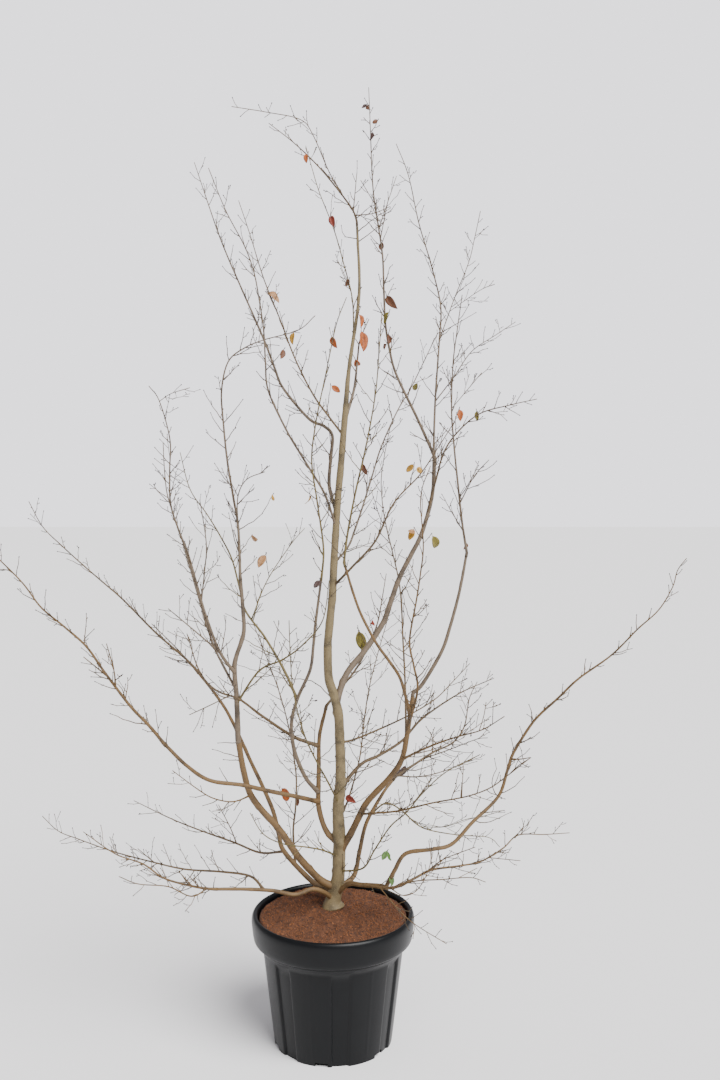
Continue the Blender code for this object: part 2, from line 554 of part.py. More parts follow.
def soil_radius(height):
    """The radius of the soil at a height, clear of the flat faces of the pot's inside."""
    return (pot_inner_radius(height) - GAP) * math.cos(FLUTE_HALF_ANGLE - FLUTE_SLOPE_ANGLE) - GAP


def make_soil(material):
    """The soil that fills the pot, clear of its wall and floor."""
    edge = soil_radius(POT_HEIGHT - SOIL_EDGE_DROP)
    rings = []
    for i in range(SOIL_RINGS + 1):
        rings.append(soil_ring(SOIL_FLAT_RADIUS + (edge - SOIL_FLAT_RADIUS) * i / SOIL_RINGS))
    for height in (POT_BODY_TOP, POT_FLOOR + GAP):
        rings.append(soil_ring(soil_radius(height), height))
    return add_object("soil", skin("soil", rings), material)


def soil_ring(radius, height=None):
    """One ring of the soil's points, at a height or on its rough top."""
    ring = []
    for k in range(SOIL_SECTORS):
        angle = 2 * math.pi * k / SOIL_SECTORS
        x, y = radius * math.cos(angle), radius * math.sin(angle)
        ring.append((x, y, soil_height(x, y) if height is None else height))
    return ring


class Grown:
    """A limb that has been worked out: its centre line and its radii."""

    def __init__(self, line, radii, sides):
        self.line = line
        self.radii = radii
        self.sides = sides

    def samples(self, step=SAMPLE_STEP):
        """Places along the limb with its radius there, for telling what is near it."""
        rows = []
        for a, b, ra, rb in zip(self.line, self.line[1:], self.radii, self.radii[1:]):
            count = max(1, math.ceil((b - a).length / step))
            for i in range(count):
                t = i / count
                rows.append((*(a + (b - a) * t), ra + (rb - ra) * t))
        rows.append((*self.line[-1], self.radii[-1]))
        return np.array(rows)


def grow_trunk():
    """The leading trunk, from its flared foot to its tip."""
    line = smooth_line([from_front(place) for place in TRUNK_LINE], 7 * CM)
    line[0] = Vector((line[1].x, line[1].y, SOIL_CENTRE_HEIGHT + GAP))
    heights = [h * CM for h, _ in TRUNK_THICKNESS]
    sizes = [0.5 * thick * MM for _, thick in TRUNK_THICKNESS]
    radii = [float(np.interp(point.z, heights, sizes)) for point in line]
    return Grown(line, radii, TRUNK_SIDES)


def grow_limb(row, grown, step, sides):
    """The limb of one row, from its parent's middle line or on from its parent's tip."""
    parent = grown[row.parent]
    places = [from_front(place) for place in row.through]
    if row.foot is TIP:
        ahead = (parent.line[-1] - parent.line[-2]).normalized()
        start = parent.line[-1] + ahead * GAP
        places = [start, start + ahead * 0.012, *places]
    else:
        places = [nearest_on(parent.line, from_front(row.foot))[0], *places]
    line = smooth_line(places, step)
    foot, tip = (value * MM for value in row.thickness)
    return Grown(line, taper(line, foot, tip), sides)


def swollen(limb, name):
    """A cutter 0.3 mm larger all round than a limb."""
    radii = [radius + GAP / math.cos(math.pi / limb.sides) for radius in limb.radii]
    cutter = add_object(name, tube_mesh(name, limb.line, radii, limb.sides), None)
    cutter.hide_render = True
    cutter.display_type = "WIRE"
    return cutter


def make_limb(row, grown, material):
    """The solid of a limb, its foot cut to sit 0.3 mm clear of the limb it springs from."""
    limb = grown[row.name]
    thing = add_object(row.name, tube_mesh(row.name, limb.line, limb.radii, limb.sides), material)
    if row.foot is not TIP:
        cut_away(thing, [swollen(grown[row.parent], "cutter")])
    return thing


def grow_side_stem(stem, places, foot, tip):
    """A side stem of a spray, from the nearest place of the stem it leaves."""
    start, index = nearest_on(stem.line, from_front(places[0]))
    line = smooth_line([start, *[from_front(place) for place in places[1:]]], STEM_STEP)
    size = min(foot, 2 * TWIG_SHARE * stem.radii[index + 1])
    return Grown(line, taper(line, size, tip), 3)


def twig_line(start, along, out, length, rng):
    """The line of one twig: out from its stem, then bending up."""
    aim = along * math.cos(TWIG_ANGLE) + out * math.sin(TWIG_ANGLE)
    points = [start]
    for _ in range(TWIG_POINTS - 1):
        aim = (aim + Vector((0, 0, TWIG_LIFT / TWIG_POINTS)) + jitter(rng, 0.12)).normalized()
        points.append(points[-1] + aim * (length / (TWIG_POINTS - 1)))
    return points


def jitter(rng, size):
    return Vector((rng.uniform(-size, size), rng.uniform(-size, size), rng.uniform(-size, size)))


def is_clear(twig, others, skip):
    """True if a twig, past the first stretch by its foot, is clear of all the given samples."""
    rows = twig.samples()
    rows = rows[np.linalg.norm(rows[:, :3] - rows[0, :3], axis=1) > skip]
    if not len(rows) or not len(others):
        return True
    apart = np.linalg.norm(rows[:, None, :3] - others[None, :, :3], axis=2)
    return bool((apart - rows[:, None, 3] - others[None, :, 3] > TWIG_CLEAR).all())


def in_own_space(twig, own, others):
    """True if a twig's tip is nearer its own spray's stems than any other limb."""
    tip = np.array(twig.line[-1])
    to_own = np.linalg.norm(own[:, :3] - tip, axis=1).min()
    to_others = np.linalg.norm(others[:, :3] - tip, axis=1).min()
    return to_own < to_others


def grow_twigs(stem, length, rng, own, others, twigs):
    """Twigs in two ranks along a stem, each kept only if it is clear of every other limb."""
    total = sum((b - a).length for a, b in zip(stem.line, stem.line[1:]))
    share = lengths_along(stem.line)
    count = int(total * (1 - STEM_TIP_BARE) / TWIG_SPACING)
    turn = rng.uniform(0, math.tau)
    for k in range(1, count + 1):
        t = (k - 0.3 + rng.uniform(-0.2, 0.2)) * TWIG_SPACING / total
        if t > 1 - STEM_TIP_BARE:
            break
        index = max(i for i, value in enumerate(share) if value <= t)
        a, b = stem.line[index], stem.line[index + 1]
        start = a + (b - a) * ((t - share[index]) / (share[index + 1] - share[index]))
        along = (b - a).normalized()
        turn += math.pi + rng.uniform(-0.7, 0.7)
        side = along.cross(Vector((0, 0, 1)) if abs(along.z) < 0.9 else Vector((1, 0, 0))).normalized()
        out = Matrix.Rotation(turn, 3, along) @ side
        reach = length * (1 - 0.55 * t) * rng.uniform(0.6, 1.15)
        line = twig_line(start, along, out, reach, rng)
        foot = min(4 * MM, 2 * TWIG_SHARE * stem.radii[index + 1])
        twig = Grown(line, taper(line, foot, TWIG_TIP), 3)
        mates = [other.samples() for other in twigs]
        if not is_clear(twig, np.vstack([others, *mates]), 0.012 + 2 * stem.radii[index]):
            continue
        if in_own_space(twig, own, others):
            twigs.append(twig)


def make_spray(row, grown, near, rng, material):
    """One mass: a stem, its side stems and their twigs, joined in one solid."""
    stem = grown[row.name]
    foot, tip = (value * MM for value in row.thickness)
    stems = [stem]
    for places in row.side_stems:
        source = min(stems, key=lambda s: (nearest_on(s.line, from_front(places[0]))[0]
                                           - from_front(places[0])).length)
        stems.append(grow_side_stem(source, places, 0.7 * foot, tip))
    others = np.vstack([rows for name, rows in near.items() if name != row.name])
    own = np.vstack([each.samples() for each in stems])
    twigs = []
    for each in stems:
        grow_twigs(each, row.twig_length * CM, rng, own, others, twigs)
    thing = make_limb(row, grown, material)
    pieces = []
    for i, piece in enumerate(stems[1:] + twigs):
        name = f"{row.name}_piece_{i}"
        pieces.append(add_object(name, tube_mesh(name, piece.line, piece.radii, piece.sides), None))
    join_all(thing, pieces)
    near[row.name] = np.vstack([own, *[twig.samples() for twig in twigs]])
    return thing


def grow_all():
    """Every limb's line, parents before the limbs that spring from them."""
    grown = {"trunk": grow_trunk()}
    for row in BOUGHS:
        grown[row.name] = grow_limb(row, grown, RING_STEP, BOUGH_SIDES)
    for row in SPRAYS:
        sides = 5 if row.thickness[0] > 9 else 3
        grown[row.name] = grow_limb(row, grown, STEM_STEP, sides)
    return grown


def clear_scene():
    for thing in list(bpy.data.objects):
        bpy.data.objects.remove(thing, do_unlink=True)


def main():
    clear_scene()
    make_pot(simple_material("black plastic", POT_COLOUR, 0.42))
    make_soil(simple_material("bark soil", SOIL_COLOUR, 0.95))
    grown = grow_all()
    trunk = grown["trunk"]
    bark = simple_material("trunk bark", TRUNK_COLOUR, BARK_ROUGHNESS)
    add_object("trunk", tube_mesh("trunk", trunk.line, trunk.radii, trunk.sides), bark)
    for row in BOUGHS:
        make_limb(row, grown, simple_material(f"{row.name} bark", BOUGH_COLOUR, BARK_ROUGHNESS))
    near = {name: limb.samples() for name, limb in grown.items()}
    for index, row in enumerate(SPRAYS):
        rng = random.Random(SPRAY_SEED + index)
        make_spray(row, grown, near, rng, simple_material(f"{row.name} bark", TWIG_COLOUR, BARK_ROUGHNESS))


main()
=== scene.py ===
"""A bare ironwood in a black nursery pot: an add-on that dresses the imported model.

Metres, +Z up, origin at the centre of the pot's underside, +Y away from the front. Every piece
is made in place, so its object stays at the origin. The limbs grow by the same rows and the
same seeded rule as the solids that they stand for, and are carried on to finer twigs.
"""

import json
import math
import random
from functools import lru_cache
from typing import NamedTuple

import bmesh
import bpy
import numpy as np
from mathutils import Matrix, Vector

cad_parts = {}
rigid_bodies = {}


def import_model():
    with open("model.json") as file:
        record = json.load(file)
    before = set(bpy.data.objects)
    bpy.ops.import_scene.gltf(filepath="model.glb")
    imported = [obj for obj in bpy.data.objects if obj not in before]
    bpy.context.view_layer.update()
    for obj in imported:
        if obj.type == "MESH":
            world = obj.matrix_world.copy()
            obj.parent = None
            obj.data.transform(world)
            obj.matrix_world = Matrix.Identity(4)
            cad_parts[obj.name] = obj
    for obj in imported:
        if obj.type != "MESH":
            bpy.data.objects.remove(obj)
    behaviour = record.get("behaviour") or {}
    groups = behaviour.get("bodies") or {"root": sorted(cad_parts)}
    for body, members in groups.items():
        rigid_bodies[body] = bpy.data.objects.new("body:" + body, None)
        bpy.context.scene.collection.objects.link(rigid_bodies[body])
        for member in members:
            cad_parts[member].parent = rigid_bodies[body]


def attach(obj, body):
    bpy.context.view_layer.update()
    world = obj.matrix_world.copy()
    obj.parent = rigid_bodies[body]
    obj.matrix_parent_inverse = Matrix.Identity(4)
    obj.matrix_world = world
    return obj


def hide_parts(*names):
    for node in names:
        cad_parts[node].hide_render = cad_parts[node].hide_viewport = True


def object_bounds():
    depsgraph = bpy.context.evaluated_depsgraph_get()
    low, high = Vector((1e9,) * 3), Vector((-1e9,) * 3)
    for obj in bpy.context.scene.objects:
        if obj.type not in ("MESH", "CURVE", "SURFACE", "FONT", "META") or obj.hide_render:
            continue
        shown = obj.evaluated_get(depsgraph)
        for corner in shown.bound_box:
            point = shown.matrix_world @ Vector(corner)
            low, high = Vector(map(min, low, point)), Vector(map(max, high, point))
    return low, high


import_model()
CAD_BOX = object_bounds()
BODY = "root"

bl_info = {
    "name": "Potted ironwood",
    "version": (1, 0, 0),
    "blender": (4, 5, 0),
    "location": "3D View > Sidebar > Ironwood",
    "description": "Makes the pot, soil, bark, twigs and last leaves of a bare potted ironwood",
    "category": "Object",
}

CM = 0.01
MM = 0.001
GAP = 0.3 * MM

# Pot
POT_HEIGHT = 0.394
POT_RIM_RADIUS = 0.2465
POT_BASE_RADIUS = 0.179
POT_BODY_RADIUS = 0.212
POT_BODY_TOP = 0.283
POT_BAND_RADIUS = 0.225
POT_LIP_UNDER = 0.316
POT_WALL = 0.0035
POT_FLOOR = 0.005
FLUTES = 7
FLUTE_HALF_ANGLE = math.radians(8.5)
FLUTE_SLOPE_ANGLE = math.radians(1.6)
FLUTE_FIRST_ANGLE = math.radians(-82.2)
FLUTE_DEPTH = 0.006
FLUTE_SCALLOP = 0.007
NOTCHES = 6
NOTCH_FIRST_ANGLE = math.radians(-99.6)
NOTCH_WIDTH = 0.038
NOTCH_HEIGHT = 0.011
POT_SECTORS = 315
WALL_RINGS = 24
BAND_SECTION = ((-0.0124, 0.004), (-0.005, 0.016), (-0.002, 0.0185), (0.0, 0.024), (0.0005, 0.029))
LIP_SECTION = (
    (-0.011, -0.0022), (-0.0085, 0.0), (-0.0065, 0.004), (-0.0045, 0.014), (-0.0028, 0.026),
    (-0.0010, 0.042), (-0.0001, 0.054), (0.0, 0.060), (-0.0007, 0.066), (-0.0024, 0.0715),
    (-0.0050, 0.0755), (-0.0085, 0.0778), (-0.0110, 0.0780), (-0.0140, 0.0768), (-0.0165, 0.0740),
    (-0.0182, 0.0700), (-0.0190, 0.0640),
)
BEHIND_LIP = (0.2262, 0.370)
BEHIND_BAND = (0.2225, 0.345)
FLUTE_END_RISE = 0.004
FLUTE_END_LENGTH = 0.012
PANEL_LINE_ANGLE = math.radians(0.7)
PANEL_LINE_START = 0.03
POT_SHARP_ANGLE = math.radians(32)

# Soil
SOIL_EDGE_DROP = 0.014
SOIL_CENTRE_HEIGHT = 0.405
SOIL_FLAT_RADIUS = 0.036
SOIL_MOUND_PLACE = Vector((-0.05, 0.10))
SOIL_MOUND_RADIUS = 0.13
SOIL_MOUND_HEIGHT = 0.026
SOIL_ROUGHNESS = 0.004
SOIL_FADE = 0.03
SOIL_RINGS = 44
SOIL_SECTORS = 150
SOIL_EDGE_RADIUS = 0.2225
SOIL_FINE = 0.0011
SOIL_SIDE = (
    (SOIL_EDGE_RADIUS - 0.001, 0.34), (0.199, POT_BODY_TOP), (POT_BASE_RADIUS - 0.012, POT_FLOOR + GAP),
)
CRUMB_SEED = 7
CRUMB_LEAST = (0.15, 0.12, 0.08)
CRUMB_MOST = (1.0, 0.42, 0.26)

# Each limb's row gives where its centre line shows from this place, on the upright plane
# through the trunk, and how far back it lies (cm).
EYE = Vector((0.082, -3.314, 1.732))
CAMERA_PLACE = (0.0818, -3.3136, 1.7320)
CAMERA_PITCH = math.radians(3.649)
CAMERA_LENS = 37.25
CAMERA_SENSOR = 36.0

# Trunk: across, up and back (cm), and its thickness (mm) at heights (cm)
TRUNK_LINE = (
    (0, 40.5, 0), (0, 42.5, 0), (1.6, 50, 0), (1.9, 62, 0), (1.6, 70, 0), (2.3, 82, 0), (1.6, 100, 0),
    (-1.2, 111, 0), (-1.5, 120, 0), (-0.2, 134, 1), (1.3, 160, 2), (3.2, 182, 2),
    (5, 203, 2), (7.9, 224, 2), (7.3, 244, 2),
)
TRUNK_THICKNESS = (
    (40.5, 52), (43, 43), (47, 40), (65, 37), (80, 31), (103, 28), (112, 26), (150, 22),
    (188, 19), (200, 12), (225, 9), (245, 7),
)
TRUNK_SIDES = 12
BOUGH_SIDES = 8
RING_STEP = 8 * CM
STEM_STEP = 10 * CM

# Twigs
TWIG_SPACING = 10 * CM
TWIG_ANGLE = math.radians(48)
TWIG_LIFT = 0.5
TWIG_POINTS = 4
TWIG_TIP = 2.2 * MM
TWIG_SHARE = 0.62
TWIG_CLEAR = 6 * MM
SAMPLE_STEP = 6 * MM
STEM_TIP_BARE = 0.05
SPRAY_SEED = 20

TIP = None


class Limb(NamedTuple):
    """One tapering limb: thickness at foot and tip in mm, places in cm."""
    name: str
    parent: str
    foot: tuple
    thickness: tuple
    through: tuple


class Spray(NamedTuple):
    """One mass of bare twigs: a stem, the side stems that leave it, and its twigs' length in cm."""
    name: str
    parent: str
    foot: tuple
    thickness: tuple
    twig_length: float
    through: tuple
    side_stems: tuple = ()


BOUGHS = (
    Limb("bough_left_low", "trunk", (0.3, 46.5, 0), (23, 17),
         ((-4, 49, -1), (-10, 55.5, -3), (-17, 65.5, -5), (-25, 75.5, -7), (-28.3, 91, -9))),
    Limb("bough_left_high", "bough_left_low", TIP, (17, 10),
         ((-28.8, 105, -10), (-29.3, 115, -9), (-26.6, 124, -8), (-27.4, 140, -8))),
    Limb("bough_left_second", "trunk", (0, 44.5, 0), (17, 8),
         ((-4, 46.6, 3), (-8.5, 50.5, 5), (-15, 58, 5), (-18, 70, 6), (-25, 86, 4), (-32, 101, 1),
          (-40, 112, 0))),
    Limb("bough_centre_left", "trunk", (1.8, 60, 0), (18, 10),
         ((-2, 64, 1), (-4.2, 71, 2), (-4.2, 84, 3), (-4, 93, 4), (-2.2, 101, 5))),
    Limb("bough_left_wide", "bough_centre_left", (-4.2, 73, 2), (14, 10),
         ((-10, 74.3, -3), (-18, 76, -7), (-27, 78, -12), (-37, 79.5, -16), (-44, 84, -19),
          (-50, 90, -21))),
    Limb("bough_inner_left", "bough_centre_left", (-4.2, 76, 3), (13, 7),
         ((-8.3, 80.5, 0), (-11.6, 89, -2), (-12.4, 97, -4), (-10.5, 104.5, -6), (-6.8, 113, -8),
          (-5, 128, -11), (-3.4, 140, -13))),
    Limb("bough_left_skirt", "trunk", (0, 43, 0), (15, 9),
         ((-3.2, 45.2, -4), (-6.5, 46, -6), (-11.5, 44.3, -8), (-18, 45.5, -10), (-26, 46, -12),
          (-35, 46, -14))),
    Limb("bough_right_main", "trunk", (1.9, 57, 0), (22, 13),
         ((5.5, 63.5, -1), (10.7, 73.3, -4), (17.4, 80.7, -6), (20.8, 86, -7), (22.4, 94, -8),
          (24, 105, -8))),
    Limb("bough_right_outer", "bough_right_main", TIP, (12, 8),
         ((27, 109, -8), (32.5, 118.5, -8), (37.2, 134, -8), (39.7, 147, -8))),
    Limb("bough_right_front", "bough_right_main", (23.2, 99.5, -8), (10, 7),
         ((20, 111, -13), (13.6, 120.3, -17), (8, 131, -20), (3.8, 144, -22))),
    Limb("bough_grey_right", "trunk", (1.2, 103, 0), (20, 11),
         ((4.2, 112, 3), (9.7, 119, 6), (15, 127.2, 8), (20, 141, 10), (26.5, 154, 11), (29.5, 165, 12),
          (30.3, 175, 12))),
    Limb("bough_right_second", "trunk", (0.5, 46.5, 0), (16, 9),
         ((6.2, 50, 4), (8.1, 58, 6), (10.2, 66.7, 7), (15, 75.4, 9), (18, 79.5, 11))),
    Limb("bough_right_low", "trunk", (0, 43.5, 0), (16, 13),
         ((4.5, 47.5, -3), (9, 47.3, -7), (15, 47, -10))),
    Limb("bough_arch", "bough_right_low", TIP, (13, 9),
         ((18.5, 51.5, -12), (22, 57, -13), (30, 58.3, -14), (36, 60, -13), (42, 66.5, -11),
          (49.8, 74.5, -8), (52.7, 83, -8))),
)

SPRAYS = (
    Spray("spray_left_arch", "bough_left_high", TIP, (9, 2.6), 13,
          ((-28, 156, -6), (-31, 175, -4), (-32.6, 196, -3), (-30.6, 204.6, -3), (-25.8, 208.6, -3.5),
           (-20, 211, -4), (-10, 213.8, -6), (-5, 218, -7)),
          (((-28, 157, -6), (-28, 165, -8), (-25.4, 170, -10), (-20, 172.3, -12)),)),
    Spray("spray_left_outer", "bough_left_high", (-29.2, 112, -9), (10, 2.6), 13,
          ((-34, 119, -12), (-38, 130, -14), (-43, 148, -14), (-48, 163, -14), (-48, 182, -16),
           (-51, 193.2, -19), (-54, 197.5, -20)),
          (((-51, 193, -19), (-47.5, 195.3, -17), (-42, 197, -14)),
           ((-39, 134, -14), (-37.5, 151, -18), (-39.3, 164, -22)),
           ((-33, 117.5, -12), (-39, 123, -16), (-49, 131.5, -20)))),
    Spray("spray_left_pair", "bough_left_high", (-29, 107, -10), (8, 2.6), 12,
          ((-35, 119, -4), (-40.5, 137, -3), (-44.6, 152, 0), (-49, 166, 3), (-50, 181, 7))),
    Spray("spray_long_left", "bough_left_second", TIP, (8, 2.4), 10,
          ((-44, 116.5, 2), (-53, 124.5, 5), (-62.5, 134.3, 9), (-73, 143.5, 13), (-86, 156, 17),
           (-90, 163.5, 20)),
          (((-41.5, 114, 1), (-47, 120, 7), (-54, 127, 11)),
           ((-42, 115, 2), (-42, 120, -2), (-43.5, 124, -4)))),
    Spray("spray_wide_left", "bough_left_wide", TIP, (10, 2.6), 10,
          ((-55, 96, -23), (-61, 102.5, -26), (-68, 112, -29), (-73.5, 120, -32), (-80, 126, -34),
           (-87, 132, -37), (-93, 140, -39), (-105, 152, -44)),
          (((-65, 108, -28), (-65.5, 113, -31), (-67.6, 121, -34)),
           ((-67, 111, -29), (-74.5, 117, -27)))),
    Spray("spray_low_left", "bough_left_second", (-15, 57.5, 5), (8, 2.4), 11,
          ((-22, 57.3, 9), (-30, 60.5, 13), (-41, 64.5, 18), (-50, 68.3, 23), (-60, 73.3, 28)),
          (((-29, 60, 13), (-31, 65, 10), (-34.5, 72, 7)),)),
    Spray("spray_left_hook", "bough_left_low", (-24.6, 75, -7), (5, 2.2), 9,
          ((-30, 73, -13), (-36, 74, -19), (-41, 77, -25), (-48.3, 82.5, -33))),
    Spray("spray_skirt_upper", "bough_left_skirt", (-21, 45.8, -10), (8, 2.4), 12,
          ((-25, 50, -6), (-34, 51.4, 0), (-45, 52.2, 5), (-55, 54.5, 9), (-66, 57.5, 13),
           (-77, 61.5, 17), (-83, 64, 20), (-87.7, 68.5, 22)),
          (((-54, 54, 9), (-59, 58.5, 5)),)),
    Spray("spray_skirt_lower", "bough_left_skirt", TIP, (8, 2.4), 10,
          ((-42, 46.8, -16), (-51, 49.3, -19), (-57.5, 53.8, -21), (-66, 57, -23), (-75.4, 63.7, -26)),
          (((-38, 46.2, -15), (-43, 43.8, -22), (-50, 46.8, -29), (-59, 47.6, -36), (-64.8, 49.9, -40)),
           ((-43, 47, -16), (-46.5, 51.3, -11)))),
    Spray("spray_left_side", "bough_centre_left", (-4, 90, 4), (12, 2.6), 14,
          ((-12, 93, 2), (-21, 99, -6), (-28, 104.2, -14), (-35, 107, -17), (-40, 113, -19),
           (-43.5, 124, -22)),
          (((-31, 105.3, -15), (-37, 102.3, -19), (-43, 99.5, -23)),)),
    Spray("spray_left_olive", "bough_inner_left", (-10.7, 104, -6), (9, 2.4), 13,
          ((-14.5, 113, -1), (-20.3, 123, 2), (-26, 131, 5), (-30, 146.6, 8), (-37.4, 160, 12),
           (-42.2, 167.2, 14), (-45, 178, 17)),
          (((-24, 128.5, 4), (-19.6, 139.7, 8), (-12.4, 150.7, 12), (-8.3, 155.5, 15)),)),
    Spray("spray_left_brace", "bough_left_high", (-28.8, 103, -10), (7, 2.4), 12,
          ((-22, 112.8, -15), (-15, 116.2, -18), (-9, 120.6, -21), (-3, 128, -25), (-1, 140, -29))),
    Spray("spray_centre_back", "bough_centre_left", TIP, (9, 2.4), 16,
          ((2, 107, 9), (8, 115, 15), (13, 126, 21), (16, 142, 28))),
    Spray("spray_inner_tall", "bough_inner_left", TIP, (6.5, 2.4), 11,
          ((-2.7, 150, -14), (-4.6, 164, -16), (-6.1, 175.7, -18), (-4.8, 187, -20), (-1.9, 201, -23),
           (1.2, 215.3, -25), (4.2, 223.3, -27))),
    Spray("spray_right_outer", "bough_right_outer", TIP, (7.5, 2.4), 13,
          ((38.4, 158, -8), (36.7, 173, -10), (35.2, 190, -14), (35.5, 203.5, -18), (38.1, 224, -22)),
          (((37.8, 163, -9), (42, 171, -13), (46.3, 175.8, -16)),
           ((35.2, 191, -14), (44, 201.4, -10)))),
    Spray("spray_right_middle", "bough_right_main", (22.5, 95.5, -8), (8, 2.4), 14,
          ((25.4, 107, -14), (23, 122, -17), (25, 134, -20), (27, 150.4, -25), (26.2, 165, -29),
           (29, 174, -32))),
    Spray("spray_right_inner", "bough_right_main", (21.9, 92, -8), (7, 2.4), 14,
          ((21.8, 106, -2), (21, 122.7, 6), (19.8, 139.7, 16), (15.8, 157, 22), (14.5, 170.6, 26),
           (17.2, 186, 30))),
    Spray("spray_right_front", "bough_right_front", TIP, (7, 2.4), 14,
          ((4.5, 154, -23), (7, 167, -24), (10, 180, -26), (12.7, 195, -28), (14.6, 219, -30))),
    Spray("spray_top", "bough_grey_right", TIP, (10, 2.2), 10,
          ((28.3, 181, 11), (24.6, 189, 9), (18.8, 201, 7), (15.6, 216, 5), (14.8, 235, 4),
           (12.1, 253.4, 4), (11.3, 269, 4), (10.7, 283.4, 4)),
          (((13.6, 243, 4), (18.8, 258.2, 9)),
           ((14.3, 240, 4), (16.5, 252, -3)),
           ((12.6, 250, 4), (8.4, 257, -2)))),
    Spray("spray_right_straight", "bough_grey_right", (30, 169, 12), (8, 2.4), 10,
          ((30, 182, 17), (30.5, 196, 19), (31.5, 211, 22), (31.8, 221, 23), (29, 232.7, 24),
           (25.3, 245, 24), (22.3, 258.3, 24), (18.7, 267.4, 24)),
          (((30.4, 193, 19), (35.7, 200, 23), (41, 207.6, 28), (47.9, 212.3, 33), (53.8, 216.2, 37)),
           ((31.4, 211, 22), (36.1, 223.7, 26), (40, 233.5, 28), (43.3, 248.2, 31)),
           ((34.6, 219.5, 24), (43.2, 225.3, 20), (47.6, 227.1, 17)))),
    Spray("spray_far_right_up", "bough_grey_right", (28.4, 160, 12), (7, 2.4), 11,
          ((33, 178, 8), (37, 184, 6), (43.5, 189.4, 3), (52.6, 192, -2), (60.3, 193.7, -6))),
    Spray("spray_trunk_right", "trunk", (0.2, 138, 1), (8, 2.4), 13,
          ((6, 144.2, -3), (12.7, 151.7, -6), (18.2, 163, -6), (25.8, 171.3, -4), (31, 179, -3),
           (36, 187, -3))),
    Spray("spray_grey_purple", "trunk", (0.6, 145, 1.5), (7, 2.4), 13,
          ((4.6, 150, 6), (9.3, 163, 12), (14.6, 180, 18), (19.1, 190, 21), (23.2, 197, 25),
           (31, 213, 33))),
    Spray("spray_upper_left", "trunk", (0.9, 156, 2), (8, 2.4), 12,
          ((-2.2, 165.5, -3), (-6, 172, -6), (-13.5, 184.5, -12), (-18.8, 196, -15),
           (-20.1, 213.6, -18), (-22.8, 230.3, -20), (-25.5, 238, -22), (-31, 248.4, -24),
           (-35.9, 260.5, -26))),
    Spray("spray_upper_left_inner", "trunk", (3.3, 183, 2), (7, 2.4), 12,
          ((-1, 188.5, 4), (-5.6, 195, 7), (-10.7, 205, 10), (-15.6, 217.7, 13), (-20.1, 229, 16),
           (-23.8, 241, 18), (-27.2, 251.2, 20))),
    Spray("spray_upper_left_outer", "trunk", (1.2, 160, 2), (12, 2.4), 12,
          ((-0.9, 168, 5), (-0.4, 177, 7), (0, 183, 8), (-2.5, 185.8, 9), (-7, 188, 12),
           (-14.4, 196.8, 17), (-19.6, 210, 21), (-27, 227, 25), (-32.8, 240.8, 28), (-40, 262.1, 32))),
    Spray("spray_tip", "trunk", TIP, (6, 2.2), 8,
          ((5.4, 249.5, 3), (-2.4, 259.3, 6), (-10.1, 266.9, 10), (-18.3, 273.3, 15)),
          (((5.8, 248.6, 3), (-0.4, 258.6, -5), (-5.4, 269.8, -10), (-9.1, 274.3, -13),
            (-18.8, 276.4, -17), (-29, 278, -20)),
           ((6.4, 247.6, 3), (7.3, 259.3, 2)),
           ((6.8, 246.8, 3), (12, 247.5, -2), (17, 249.5, -5)))),
    Spray("spray_tip_inner", "trunk", (6.2, 212, 2), (4.5, 2.2), 10,
          ((5.9, 223, 6), (3.5, 232.7, 9), (0.6, 242.8, 12), (-3.7, 253.7, 15), (-7.6, 266.8, 18))),
    Spray("spray_right_fan", "bough_right_second", TIP, (9, 2.4), 13,
          ((24, 84, 15), (30, 88, 20), (36, 91, 25), (39.5, 96, 29), (41, 104.5, 33), (43.3, 109.5, 36)),
          (((19.5, 80.8, 12), (25, 80.6, 19), (31, 81.6, 26), (39, 84.5, 33), (44.3, 87.4, 38)),
           ((27, 86, 18), (34, 88.5, 14), (43, 92, 9), (46.5, 92.5, 6)))),
    Spray("spray_right_fan_front", "bough_right_main", (20.4, 86, -7), (8, 2.4), 13,
          ((26, 88.5, -14), (32, 91, -20), (38, 93, -26), (45, 95, -33), (51.5, 99, -39)),
          (((44, 94.7, -32), (45.3, 99, -35), (46, 103.3, -38)),)),
    Spray("spray_right_side", "trunk", (2.1, 77, 0), (12, 2.4), 14,
          ((8.5, 84.4, 4), (13.6, 87, 7), (20.8, 91.6, 10), (27, 98.5, 13), (38, 106, 19),
           (48.3, 110.6, 24))),
    Spray("spray_twin_top", "trunk", (3.8, 187, 2), (11, 2.6), 9,
          ((6.4, 196.5, 6), (7.5, 206, 8), (8.2, 211, 9), (10.8, 217, 12))),
    Spray("spray_right_dark", "trunk", (1.9, 91, 0), (7, 2.4), 14,
          ((7, 92.2, 0), (17, 96.5, 1), (24, 100, 3), (31, 104.5, 6), (41, 115, 12))),
    Spray("spray_far_right", "bough_arch", TIP, (9, 2.4), 8,
          ((54.4, 88, -8), (60.3, 97.5, -9), (67.5, 104.5, -10), (73.7, 110.5, -11), (83.3, 117.5, -12),
           (91, 125.3, -13), (97.3, 131.2, -13), (101.3, 138, -14), (102.7, 143, -14),
           (105.3, 146.6, -14)),
          (((53.7, 86, -8), (56.5, 86, -11), (59.4, 86.5, -14)),)),
    Spray("spray_right_low", "bough_right_low", (11.5, 47.1, -8.5), (9, 2.4), 11,
          ((16, 46.3, -6), (20, 46.9, -5.5), (25, 49.5, -4), (30, 52, 0), (39, 53.3, 6), (45, 54.7, 10),
           (51.5, 58.7, 14), (56, 62.7, 17), (64, 62.9, 21), (71.5, 63.4, 25)),
          (((47, 55.3, 11), (56.7, 54.8, 4)),
           ((55, 62, 16), (57.7, 65.5, 14)),
           ((28, 51, -2), (33, 55, -7), (43, 59, -18)))),
